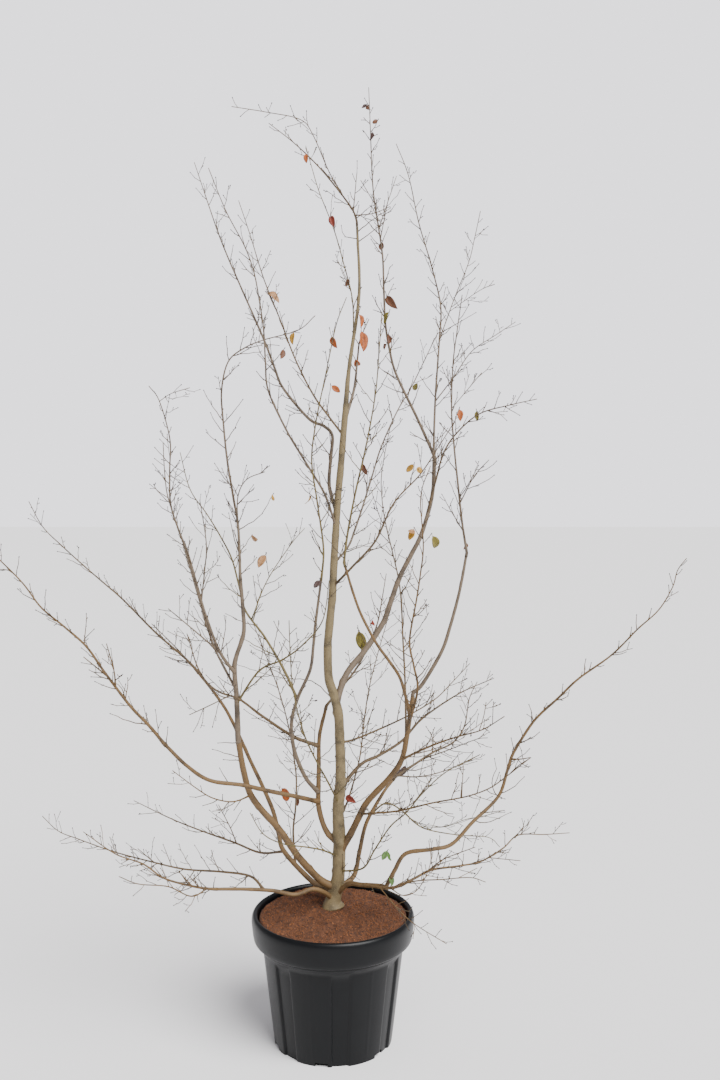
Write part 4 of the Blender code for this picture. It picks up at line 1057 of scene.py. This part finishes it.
def finish_piece(thing, nodes):
    """The piece, riding on the body, standing for the nodes."""
    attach(thing, BODY)
    if nodes:
        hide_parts(*nodes)
    return thing


def bark_relief(seed, length):
    """Low waves, ring-like scars at even gaps, and a few knots."""
    rng = random.Random(seed)
    phase = [rng.uniform(0, math.tau) for _ in range(5)]
    gap = rng.uniform(*SCARS_APART)
    knots = [(rng.uniform(0.03, max(0.04, length)), rng.uniform(0, math.tau), rng.uniform(*KNOT_HEIGHT))
             for _ in range(max(1, int(length / KNOTS_APART)))]

    def relief(along, turn):
        total = 0.0
        for (height, waves, turns), start in zip(WAVES, phase):
            total = total + height * np.sin(waves * along + turns * turn + start)
        total = total + (GRAIN_HEIGHT * np.sin(7 * turn + 23 * along + phase[2])
                         * np.sin(190 * along + phase[3]))
        from_scar = (along + phase[4] * CM) % gap - gap / 2
        total = total + SCAR_HEIGHT * np.exp(-((from_scar / SCAR_WIDTH) ** 2))
        for place, angle, height in knots:
            off = (turn - angle + math.pi) % math.tau - math.pi
            total = total + height * np.exp(-((along - place) / KNOT_LENGTH) ** 2 - (off / KNOT_SPREAD) ** 2)
        return total

    return relief


def with_collar(line, radii, amount):
    """Radii swollen where a limb springs from its parent."""
    total = length_of(line) / COLLAR_LENGTH
    return [radius * (1 + amount * math.exp(-((share * total) ** 2)))
            for radius, share in zip(radii, lengths_along(line))]


class Maker:
    """Adds nodes to one tree in few words."""

    def __init__(self, tree):
        self.tree = tree

    def node(self, kind, inputs=(), **settings):
        """A node with its settings, and each input given a value or linked to a socket."""
        made = self.tree.nodes.new(kind)
        for key, value in settings.items():
            setattr(made, key, value)
        for key, value in dict(inputs).items():
            if isinstance(value, bpy.types.NodeSocket):
                self.tree.links.new(value, made.inputs[key])
            else:
                made.inputs[key].default_value = value
        return made

    def mix(self, factor, first, second):
        """A blend of two colours."""
        return self.node("ShaderNodeMix", {0: factor, 6: first, 7: second}, data_type="RGBA").outputs[2]

    def ramp(self, value, low, high):
        """A value's place between low and high, from 0 to 1."""
        made = self.node("ShaderNodeMapRange", {"Value": value, "From Min": low, "From Max": high})
        return made.outputs["Result"]


def new_tree(name, kind, inputs, outputs):
    """A node group with its named sockets, its maker and its two end nodes."""
    tree = bpy.data.node_groups.new(name, kind)
    for side, rows in (("INPUT", inputs), ("OUTPUT", outputs)):
        for socket, socket_kind in rows:
            tree.interface.new_socket(name=socket, in_out=side, socket_type="NodeSocket" + socket_kind)
    make = Maker(tree)
    return tree, make, make.node("NodeGroupInput").outputs, make.node("NodeGroupOutput").inputs


@lru_cache(maxsize=1)
def grain_group():
    """Mottled grain: a colour that varies over the surface, a roughness and a height."""
    inputs = [(name, "Color") for name in ("Base", "Dark", "Light")]
    inputs += [(name, "Float") for name in ("Patch Scale", "Speck Scale", "Rough")]
    outputs = (("Colour", "Color"), ("Roughness", "Float"), ("Height", "Float"))
    tree, make, given, out = new_tree("mottled_grain", "ShaderNodeTree", inputs, outputs)
    place = make.node("ShaderNodeTexCoord").outputs["Object"]
    patch = make.node("ShaderNodeTexNoise",
                      {"Vector": place, "Scale": given["Patch Scale"], "Detail": PATCH_DETAIL})
    speck = make.node("ShaderNodeTexNoise",
                      {"Vector": place, "Scale": given["Speck Scale"], "Detail": SPECK_DETAIL})
    dark = make.mix(make.ramp(patch.outputs["Fac"], *PATCH_EDGE), given["Base"], given["Dark"])
    light = make.mix(make.ramp(speck.outputs["Fac"], *SPECK_EDGE), dark, given["Light"])
    rough = make.node("ShaderNodeMath", {0: speck.outputs["Fac"], 1: SPECK_ROUGH, 2: given["Rough"]},
                      operation="MULTIPLY_ADD")
    made = {"Colour": light, "Roughness": rough.outputs[0], "Height": speck.outputs["Fac"]}
    for socket, value in made.items():
        tree.links.new(value, out[socket])
    return tree


def shade(colour, share):
    return (*(value * share for value in colour), 1.0)


def grain_material(name, colour, finish):
    """A material with the mottled grain and a fine bump."""
    material = bpy.data.materials.new(name)
    material.use_nodes = True
    tree = material.node_tree
    make = Maker(tree)
    grain = make.node("ShaderNodeGroup", node_tree=grain_group())
    values = {
        "Base": shade(colour, 1.0), "Dark": shade(colour, finish.dark), "Light": shade(colour, finish.light),
        "Patch Scale": finish.patch_scale, "Speck Scale": finish.speck_scale, "Rough": finish.rough,
    }
    for socket, value in values.items():
        grain.inputs[socket].default_value = value
    bump = make.node("ShaderNodeBump", {"Strength": finish.bump, "Distance": finish.depth,
                                        "Height": grain.outputs["Height"]})
    shader = tree.nodes["Principled BSDF"]
    for value, socket in ((grain.outputs["Colour"], "Base Color"), (grain.outputs["Roughness"], "Roughness"),
                          (bump.outputs["Normal"], "Normal")):
        tree.links.new(value, shader.inputs[socket])
    return material


@lru_cache(maxsize=None)
def bark_material(kind):
    """The bark of one kind, from the plant's settings."""
    return grain_material(f"{kind} bark", getattr(bpy.context.scene.ironwood_plant, kind), FINISHES["bark"])


def geometry_tree(name, inputs):
    """An empty Geometry Nodes tree that takes a mesh, the named inputs and a finish."""
    rows = [("Geometry", "Geometry"), *inputs, ("Finish", "Material")]
    return new_tree(name, "GeometryNodeTree", rows, (("Geometry", "Geometry"),))


def end_tree(tree, make, given, out, placed):
    """The instances made real and given the finish."""
    real = make.node("GeometryNodeRealizeInstances", {"Geometry": placed.outputs["Instances"]})
    finish = make.node("GeometryNodeSetMaterial", {"Geometry": real.outputs["Geometry"],
                                                   "Material": given["Finish"]})
    tree.links.new(finish.outputs["Geometry"], out["Geometry"])
    return tree


def run_tree(thing, tree, values):
    """The plain mesh that a Geometry Nodes tree makes of an object, with its named inputs set."""
    modifier = thing.modifiers.new(tree.name, "NODES")
    modifier.node_group = tree
    for item in tree.interface.items_tree:
        if item.item_type == "SOCKET" and item.in_out == "INPUT" and item.name in values:
            modifier[item.identifier] = values[item.name]
    graph = bpy.context.evaluated_depsgraph_get()
    data = bpy.data.meshes.new_from_object(thing.evaluated_get(graph))
    thing.modifiers.remove(modifier)
    return data


def flute_share(angle):
    """How deep the flutes are at an angle, from 0 on the panels to 1."""
    turn = math.tau / FLUTES
    off = abs((angle - FLUTE_FIRST_ANGLE + turn / 2) % turn - turn / 2)
    share = min(1.0, max(0.0, (FLUTE_HALF_ANGLE - off) / FLUTE_SLOPE_ANGLE))
    return share * share * (3 - 2 * share)


def panel_middle(angle):
    """How near an angle is to the line down the middle of a panel, from 0 to 1."""
    turn = math.tau / FLUTES
    off = abs((angle - FLUTE_FIRST_ANGLE) % turn - turn / 2)
    return math.exp(-((off / PANEL_LINE_ANGLE) ** 2))


def pot_section():
    """The pot's section up its outside and down its inside: radius, height, share of the flutes."""
    rows = []
    for i in range(WALL_RINGS + 1):
        t = i / WALL_RINGS
        rows.append((POT_BASE_RADIUS + (POT_BODY_RADIUS - POT_BASE_RADIUS) * t, POT_BODY_TOP * t, 1.0))
    rows += [(POT_BAND_RADIUS + out, POT_BODY_TOP + up, 0.0) for out, up in BAND_SECTION]
    rows += [(POT_RIM_RADIUS + out, POT_LIP_UNDER + up, 0.0) for out, up in LIP_SECTION]
    inside = FLUTE_DEPTH + POT_WALL
    rows += [(*BEHIND_LIP, 0.0), (*BEHIND_BAND, 0.0), (POT_BODY_RADIUS - inside, POT_BODY_TOP, 0.0),
             (POT_BASE_RADIUS - inside, POT_FLOOR, 0.0)]
    return rows


def pot_point(row, angle, panel_line):
    """One point of the pot's wall, with its flute or its panel's line."""
    r, z, fluted = row
    if fluted:
        share = flute_share(angle)
        top = POT_BODY_TOP - FLUTE_SCALLOP * (1 - share)
        r -= FLUTE_DEPTH * share * min(1.0, max(0.0, (top + FLUTE_END_RISE - z) / FLUTE_END_LENGTH))
        r += panel_line * panel_middle(angle) * min(1.0, z / PANEL_LINE_START)
    return (r * math.cos(angle), r * math.sin(angle), z)


def notch_block(index):
    """A block that cuts one drain notch through the foot of the pot's wall."""
    angle = NOTCH_FIRST_ANGLE + index * math.tau / NOTCHES
    mesh = bmesh.new()
    bmesh.ops.create_cube(mesh, size=1.0)
    scale = Matrix.Diagonal((POT_WALL + 3 * FLUTE_DEPTH, NOTCH_WIDTH, 2 * NOTCH_HEIGHT, 1.0))
    place = Matrix.Rotation(angle, 4, "Z") @ Matrix.Translation((POT_BASE_RADIUS, 0.0, 0.0))
    bmesh.ops.transform(mesh, matrix=place @ scale, verts=mesh.verts)
    block = make_object("notch", (), ())
    mesh.to_mesh(block.data)
    mesh.free()
    return block


class IRONWOOD_OT_pot(bpy.types.Operator):
    """Make the fluted plastic pot"""
    bl_idname = "ironwood.pot"
    bl_label = "Pot"

    def execute(self, context):
        settings = context.scene.ironwood_pot
        finish = grain_material("black plastic", settings.plastic, FINISHES["plastic"])
        shader = finish.node_tree.nodes["Principled BSDF"]
        shader.inputs["Specular IOR Level"].default_value = PLASTIC_SPECULAR
        rows = pot_section()
        angles = [math.tau * k / POT_SECTORS for k in range(POT_SECTORS)]
        points = [pot_point(row, angle, settings.panel_line) for row in rows for angle in angles]
        faces = grid_faces(len(rows), POT_SECTORS)
        faces.append(tuple(reversed(range(POT_SECTORS))))
        faces.append(tuple(range(len(points) - POT_SECTORS, len(points))))
        shell = make_object("pot_shell", points, faces, finish)
        blocks = [notch_block(i) for i in range(NOTCHES)]
        for block in blocks:
            cut = shell.modifiers.new("notch", "BOOLEAN")
            cut.operation = "DIFFERENCE"
            cut.object = block
        graph = context.evaluated_depsgraph_get()
        solid = bpy.data.meshes.new_from_object(shell.evaluated_get(graph))
        shell.modifiers.clear()
        shell.data = solid
        solid.shade_smooth()
        solid.set_sharp_from_angle(angle=POT_SHARP_ANGLE)
        for block in blocks:
            bpy.data.objects.remove(block, do_unlink=True)
        finish_piece(shell, ("pot",))
        return {"FINISHED"}


def soil_height(x, y):
    """The height of the soil: level under the trunk, mounded behind it, and lower at the pot's wall."""
    edge = POT_HEIGHT - SOIL_EDGE_DROP
    away = math.hypot(x, y)
    fall = max(0.0, (away - SOIL_FLAT_RADIUS) / (SOIL_EDGE_RADIUS - SOIL_FLAT_RADIUS))
    base = SOIL_CENTRE_HEIGHT + (edge - SOIL_CENTRE_HEIGHT) * fall
    from_mound = math.hypot(x - SOIL_MOUND_PLACE.x, y - SOIL_MOUND_PLACE.y) / SOIL_MOUND_RADIUS
    mound = SOIL_MOUND_HEIGHT * max(0.0, 1 - from_mound**2) ** 2
    lumps = math.sin(61 * x + 2.1) * math.sin(47 * y - 0.7) + 0.6 * math.sin(113 * x - 83 * y)
    fine = math.sin(310 * x + 5 * y) * math.sin(290 * y - 40 * x) + 0.6 * math.sin(523 * x + 411 * y)
    rim_fade = min(1.0, max(0.0, (SOIL_EDGE_RADIUS - away) / SOIL_FADE))
    foot_fade = min(1.0, max(0.0, (away - SOIL_FLAT_RADIUS) / SOIL_FADE))
    return base + (mound + SOIL_ROUGHNESS * lumps * rim_fade) * foot_fade + SOIL_FINE * fine


def soil_points():
    """The soil's top from its middle out, then its side down to the pot's floor."""
    points = [(0.0, 0.0, soil_height(0, 0))]
    for i in range(1, SOIL_RINGS + 1):
        radius = SOIL_EDGE_RADIUS * i / SOIL_RINGS
        for k in range(SOIL_SECTORS):
            angle = math.tau * (k + 0.5 * (i % 2)) / SOIL_SECTORS
            x, y = radius * math.cos(angle), radius * math.sin(angle)
            points.append((x, y, soil_height(x, y)))
    for radius, height in SOIL_SIDE:
        for k in range(SOIL_SECTORS):
            angle = math.tau * k / SOIL_SECTORS
            points.append((radius * math.cos(angle), radius * math.sin(angle), height))
    return points


def crumb_tree():
    """Crumbs scattered over a surface: chips of unequal length, turned every way."""
    inputs = (("Density", "Float"), ("Size", "Float"), ("Seed", "Int"))
    tree, make, given, out = geometry_tree("scatter_crumbs", inputs)
    spread = make.node("GeometryNodeDistributePointsOnFaces",
                       {"Mesh": given["Geometry"], "Density": given["Density"], "Seed": given["Seed"]})
    chip = make.node("GeometryNodeMeshIcoSphere", {"Radius": 0.5, "Subdivisions": 1})
    turn = make.node("FunctionNodeRandomValue", {1: (math.tau,) * 3}, data_type="FLOAT_VECTOR")
    form = make.node("FunctionNodeRandomValue", {0: CRUMB_LEAST, 1: CRUMB_MOST}, data_type="FLOAT_VECTOR")
    size = make.node("ShaderNodeVectorMath", {0: form.outputs[0], "Scale": given["Size"]}, operation="SCALE")
    placed = make.node("GeometryNodeInstanceOnPoints",
                       {"Points": spread.outputs["Points"], "Instance": chip.outputs["Mesh"],
                        "Rotation": turn.outputs[0], "Scale": size.outputs[0]})
    return end_tree(tree, make, given, out, placed)


class IRONWOOD_OT_soil(bpy.types.Operator):
    """Make the mounded soil and the bark crumbs on it"""
    bl_idname = "ironwood.soil"
    bl_label = "Soil"

    def execute(self, context):
        settings = context.scene.ironwood_pot
        points = soil_points()
        faces = [(0, 1 + k, 1 + (k + 1) % SOIL_SECTORS) for k in range(SOIL_SECTORS)]
        faces += grid_faces(SOIL_RINGS + len(SOIL_SIDE), SOIL_SECTORS, start=1, flip=True)
        faces.append(tuple(reversed(range(len(points) - SOIL_SECTORS, len(points)))))
        pile = Pile()
        pile.add(points, faces)
        peat = grain_material("peat", settings.soil, FINISHES["peat"])
        make_piece("soil_bed", pile, peat, ("soil",))
        inner = 1 + (SOIL_RINGS - 1) * SOIL_SECTORS
        ground = make_object("soil_top", points, [face for face in faces if max(face) < inner])
        values = {"Density": float(settings.crumbs), "Size": settings.crumb_size, "Seed": CRUMB_SEED,
                  "Finish": grain_material("bark crumbs", settings.crumb, FINISHES["crumbs"])}
        data = run_tree(ground, crumb_tree(), values)
        bpy.data.objects.remove(ground, do_unlink=True)
        finish_piece(add_thing("soil_crumbs", data), ())
        return {"FINISHED"}


class IRONWOOD_OT_boughs(bpy.types.Operator):
    """Make the trunk and the boughs with their bark's relief"""
    bl_idname = "ironwood.boughs"
    bl_label = "Trunk and boughs"

    def execute(self, context):
        limbs = plant().limbs
        pile = Pile()
        line, radii = refined(limbs["trunk"], BARK_STEP)
        relief = bark_relief(TRUNK_SEED, TRUNK_KNOTTED)
        tube(pile, line, with_collar(line, radii, COLLAR), TRUNK_AROUND, relief, pointed=False)
        make_piece("trunk_bark", pile, bark_material("trunk"), ("trunk",))
        for kind in ("orange", "lilac"):
            pile = Pile()
            rows = [row for row in BOUGHS if (row.name in LILAC_BOUGHS) == (kind == "lilac")]
            for index, row in enumerate(rows):
                line, radii = refined(limbs[row.name], BARK_STEP)
                if row.foot is not TIP:
                    radii = with_collar(line, radii, BOUGH_COLLAR)
                relief = bark_relief(BOUGH_SEED + index, len(line) * BARK_STEP)
                tube(pile, line, radii, BOUGH_AROUND, relief)
            names = [row.name for row in rows]
            make_piece(f"boughs_{kind}", pile, bark_material(kind), names)
        return {"FINISHED"}


class IRONWOOD_OT_stems(bpy.types.Operator):
    """Make the stems of each spray, one piece for each kind of bark"""
    bl_idname = "ironwood.stems"
    bl_label = "Stems"

    def execute(self, context):
        for kind, names in BARK_OF.items():
            pile = Pile()
            for name in names:
                for index, stem in enumerate(plant().stems[name]):
                    line, radii = refined(stem, FINE_STEP)
                    relief = bark_relief(sum(map(ord, name)) + index, len(line) * FINE_STEP)
                    tube(pile, line, with_collar(line, radii, COLLAR), STEM_AROUND, relief)
            make_piece(f"stems_{kind}", pile, bark_material(kind), names)
        return {"FINISHED"}


class IRONWOOD_OT_twigs(bpy.types.Operator):
    """Make the twigs, shoots and spurs"""
    bl_idname = "ironwood.twigs"
    bl_label = "Twigs"

    def execute(self, context):
        whole = plant()
        rng = random.Random(FINE_SEED)
        for kind, names in BARK_OF.items():
            pile = Pile()
            for twig in (twig for name in names for twig in whole.twigs[name]):
                line = zigzag(refined(twig, FINE_STEP)[0], rng)
                whole.budding.append(line)
                tube(pile, line, taper(line, 2 * twig.radii[0], TWIG_END), TWIG_AROUND)
            make_piece(f"twigs_{kind}", pile, bark_material(kind), ())
        pile = Pile()
        part = 1
        for shoots in (*(whole.fine[row.name] for row in SPRAYS), whole.lone):
            if pile.triangles > PIECE_FULL:
                make_piece(f"fine_twigs_{part}", pile, bark_material("twig"), ())
                pile = Pile()
                part += 1
            for shoot in shoots:
                whole.budding.append(shoot.line)
                tube(pile, shoot.line, shoot.radii, shoot.sides)
        make_piece(f"fine_twigs_{part}", pile, bark_material("twig"), ())
        return {"FINISHED"}


@lru_cache(maxsize=1)
def bud_tree():
    """A pointed bud at every point, turned the way its facing attribute says."""
    tree, make, given, out = geometry_tree("buds_on_points", (("Size", "Float"),))
    bud = make.node("GeometryNodeMeshUVSphere", {"Segments": BUD_AROUND, "Rings": BUD_AROUND, "Radius": 1.0})
    slim = make.node("GeometryNodeTransform", {"Geometry": bud.outputs["Mesh"], "Scale": BUD_SHAPE,
                                               "Translation": BUD_FORWARD})
    facing = make.node("GeometryNodeInputNamedAttribute", {"Name": "facing"}, data_type="FLOAT_VECTOR")
    turn = make.node("FunctionNodeAlignRotationToVector", {"Vector": facing.outputs["Attribute"]}, axis="Z")
    share = make.node("GeometryNodeInputNamedAttribute", {"Name": "share"}, data_type="FLOAT")
    size = make.node("ShaderNodeMath", {0: share.outputs["Attribute"], 1: given["Size"]},
                     operation="MULTIPLY")
    placed = make.node("GeometryNodeInstanceOnPoints",
                       {"Points": given["Geometry"], "Instance": slim.outputs["Geometry"],
                        "Rotation": turn.outputs["Rotation"], "Scale": size.outputs[0]})
    return end_tree(tree, make, given, out, placed)


def buds_on(name, rows, size, material):
    """One joined piece of buds, from rows that each hold a place, a facing and a share of the size."""
    thing = make_object(name, [row[0] for row in rows], ())
    facing = thing.data.attributes.new("facing", "FLOAT_VECTOR", "POINT")
    facing.data.foreach_set("vector", np.array([tuple(row[1]) for row in rows], float).ravel())
    share = thing.data.attributes.new("share", "FLOAT", "POINT")
    share.data.foreach_set("value", np.array([row[2] for row in rows], float))
    thing.data = run_tree(thing, bud_tree(), {"Size": size, "Finish": material})
    return finish_piece(thing, ())


def twig_buds(rng):
    """A bud at each node of the twigs and a larger one at each tip, in rows as buds_on takes them."""
    rows = []
    for line in plant().budding:
        for i in range(1, len(line)):
            along = (line[i] - line[i - 1]).normalized()
            if i < len(line) - 1:
                facing = (along + jitter(rng, BUD_SPREAD)).normalized()
                rows.append((line[i], facing, rng.uniform(*BUD_SIZE)))
            else:
                rows.append((line[i], along, END_BUD_SIZE))
    return rows


def seed_heads(rng, stalks):
    """Clusters of pointed seed heads, in rows as buds_on takes them. Their stalks go on the pile."""
    points = np.array([tuple(line[len(line) // 2]) for line in plant().budding])
    rows = []
    for x, z in SEED_HEADS:
        start = Vector(points[nearest_seen(points, x, z)])
        for _ in range(rng.randint(*SEEDS_TOGETHER)):
            aim = (SEED_LIFT + jitter(rng, 1.0)).normalized()
            tip = start + aim * rng.uniform(*SEED_STALK)
            tube(stalks, [start, start.lerp(tip, 0.5), tip], STALK_RADII, STALK_AROUND)
            rows.append((tip, aim, rng.uniform(*SEED_SIZE)))
    return rows


class IRONWOOD_OT_buds(bpy.types.Operator):
    """Make a bud at each node of the twigs, and the dark seed heads"""
    bl_idname = "ironwood.buds"
    bl_label = "Buds and seed heads"

    def execute(self, context):
        settings = context.scene.ironwood_plant
        rng = random.Random(BUD_SEED)
        finish = grain_material("bud scales", settings.bud, FINISHES["bud"])
        rows = twig_buds(rng)
        most = MOST_TRIANGLES // BUD_TRIANGLES
        for part, start in enumerate(range(0, len(rows), most), 1):
            buds_on(f"buds_{part}", rows[start:start + most], settings.bud_size, finish)
        stalks = Pile()
        heads = seed_heads(rng, stalks)
        make_piece("seed_stalks", stalks, finish, ())
        buds_on("seed_heads", heads, settings.bud_size, finish)
        return {"FINISHED"}


def blade_points(start, hang, side, face, length, rng):
    """The points of a leaf's upper and lower faces, folded along its rib, wavy at its edge and curled."""
    fold = rng.uniform(*LEAF_FOLD)
    curl = rng.uniform(-LEAF_CURL, LEAF_CURL)
    wave = rng.uniform(0, math.tau)
    top, bottom = [], []
    for i in range(LEAF_ROWS + 1):
        u = i / LEAF_ROWS
        oval = math.sin(math.pi * min(1.0, u ** 0.82)) ** 0.75
        width = LEAF_WIDTH * length * oval / 2 + LEAF_LEAST_WIDTH
        bend = curl * u
        centre = start + hang * (length * math.sin(abs(bend) + TINY) / (abs(curl) + TINY))
        centre += face * (length * (1 - math.cos(bend)) / (abs(curl) + TINY) * (1 if curl > 0 else -1))
        for j in range(LEAF_COLUMNS + 1):
            v = 2 * j / LEAF_COLUMNS - 1
            lift = abs(v) * math.sin(fold) + LEAF_EDGE_WAVE * math.sin(9 * u + 2.5 * v + wave) * abs(v)
            point = centre + side * (width * v * math.cos(fold * 0.8)) + face * (width * lift)
            vein = LEAF_VEIN * math.sin(math.tau * (u * LEAF_VEINS - abs(v))) * abs(v)
            top.append(point + face * (vein + LEAF_THICK / 2))
            bottom.append(point + face * (vein - LEAF_THICK / 2))
    return top + bottom


def blade_faces():
    """The faces of a leaf: two grids, and the edge that joins them."""
    columns = LEAF_COLUMNS + 1
    shift = columns * (LEAF_ROWS + 1)
    upper = grid_faces(LEAF_ROWS + 1, columns, closed=False)
    lower = grid_faces(LEAF_ROWS + 1, columns, start=shift, closed=False, flip=True)
    faces = [face for pair in zip(upper, lower) for face in pair]
    for i in range(LEAF_ROWS):
        for j in (0, LEAF_COLUMNS):
            a, b = i * columns + j, (i + 1) * columns + j
            faces.append((a, b, shift + b, shift + a) if j == 0 else (b, a, shift + a, shift + b))
    for i in (0, LEAF_ROWS):
        for j in range(LEAF_COLUMNS):
            a, b = i * columns + j, i * columns + j + 1
            faces.append((b, a, shift + a, shift + b) if i == 0 else (a, b, shift + b, shift + a))
    return faces


def leaf_shape(pile, foot, hang, face, length, rng):
    """A withered leaf: its blade on a short stalk."""
    side = hang.cross(face).normalized()
    face = side.cross(hang).normalized()
    start = foot + hang * (length * STALK_SHARE)
    tube(pile, [foot, foot.lerp(start, 0.5) + face * STALK_BEND, start], STALK_RADII, STALK_AROUND)
    points = blade_points(start, hang, side, face, length, rng)
    pile.add([tuple(point) for point in points], blade_faces())


class IRONWOOD_OT_leaves(bpy.types.Operator):
    """Make the last withered leaves, one piece for each tint"""
    bl_idname = "ironwood.leaves"
    bl_label = "Leaves"

    def execute(self, context):
        scale = context.scene.ironwood_plant.leaf_scale
        rng = random.Random(LEAF_SEED)
        points = np.array([tuple(p) for line in plant().budding for p in line[1:]])
        piles = {tint: Pile() for tint in TINTS}
        for x, z, size, tint in LEAVES:
            foot = Vector(points[nearest_seen(points, x, z + LEAF_ABOVE * size)])
            hang = (LEAF_HANG + jitter(rng, LEAF_SPREAD)).normalized()
            face = (LEAF_FACE + jitter(rng, LEAF_SPREAD)).normalized()
            leaf_shape(piles[tint], foot, hang, face, size * CM * scale, rng)
        for tint, pile in piles.items():
            if pile.count:
                finish = grain_material(f"{tint} leaf", TINTS[tint], FINISHES["leaf"])
                make_piece(f"leaves_{tint}", pile, finish, ())
        return {"FINISHED"}


class IRONWOOD_OT_stage(bpy.types.Operator):
    """Make the pale floor, the soft light and the camera"""
    bl_idname = "ironwood.stage"
    bl_label = "Stage"

    def execute(self, context):
        settings = context.scene.ironwood_stage
        material = bpy.data.materials.new("floor")
        material.use_nodes = True
        shader = material.node_tree.nodes["Principled BSDF"]
        shader.inputs["Base Color"].default_value = (*settings.floor, 1.0)
        shader.inputs["Roughness"].default_value = FLOOR_ROUGHNESS
        corners = [(x * FLOOR_REACH, y * FLOOR_REACH, 0) for x, y in ((-1, -1), (1, -1), (1, 1), (-1, 1))]
        floor = make_object("floor", corners, [(0, 1, 2, 3)], material)
        lamp = bpy.data.lights.new("key", "SUN")
        lamp.energy = settings.key
        lamp.angle = KEY_SOFTNESS
        light = add_thing("key", lamp)
        light.rotation_euler = (-Vector(KEY_FROM)).to_track_quat("-Z", "Y").to_euler()
        world = bpy.data.worlds.new("pale room")
        world.use_nodes = True
        make = Maker(world.node_tree)
        sky = world.node_tree.nodes["Background"]
        sky.inputs["Color"].default_value = (*ROOM_COLOUR, 1.0)
        seen = make.node("ShaderNodeLightPath").outputs["Is Camera Ray"]
        bright = make.node("ShaderNodeMapRange",
                           {"Value": seen, "To Min": settings.room, "To Max": settings.wall})
        world.node_tree.links.new(bright.outputs["Result"], sky.inputs["Strength"])
        context.scene.world = world
        camera = bpy.data.cameras.new("camera")
        camera.lens = CAMERA_LENS
        camera.sensor_width = CAMERA_SENSOR
        viewer = add_thing("camera", camera)
        viewer.location = CAMERA_PLACE
        viewer.rotation_euler = (math.pi / 2 - CAMERA_PITCH, 0.0, 0.0)
        context.scene.camera = viewer
        return {"FINISHED"}


OPERATORS = (
    IRONWOOD_OT_stage, IRONWOOD_OT_pot, IRONWOOD_OT_soil, IRONWOOD_OT_boughs, IRONWOOD_OT_stems,
    IRONWOOD_OT_twigs, IRONWOOD_OT_buds, IRONWOOD_OT_leaves,
)


class IRONWOOD_PT_panel(bpy.types.Panel):
    """The ironwood's makers and their settings"""
    bl_label = "Ironwood"
    bl_idname = "IRONWOOD_PT_panel"
    bl_space_type = "VIEW_3D"
    bl_region_type = "UI"
    bl_category = "Ironwood"

    def draw(self, context):
        scene = context.scene
        for settings in (scene.ironwood_pot, scene.ironwood_plant, scene.ironwood_stage):
            box = self.layout.box()
            for key in settings.__annotations__:
                box.prop(settings, key)
        for operator in OPERATORS:
            self.layout.operator(operator.bl_idname)


CLASSES = (PotSettings, PlantSettings, StageSettings, *OPERATORS, IRONWOOD_PT_panel)


def register():
    for each in CLASSES:
        bpy.utils.register_class(each)
    bpy.types.Scene.ironwood_pot = bpy.props.PointerProperty(type=PotSettings)
    bpy.types.Scene.ironwood_plant = bpy.props.PointerProperty(type=PlantSettings)
    bpy.types.Scene.ironwood_stage = bpy.props.PointerProperty(type=StageSettings)


def unregister():
    del bpy.types.Scene.ironwood_pot
    del bpy.types.Scene.ironwood_plant
    del bpy.types.Scene.ironwood_stage
    for each in reversed(CLASSES):
        bpy.utils.unregister_class(each)


def main():
    register()
    for operator in OPERATORS:
        group, name = operator.bl_idname.split(".")
        getattr(getattr(bpy.ops, group), name)()


if __name__ == "__main__":
    main()
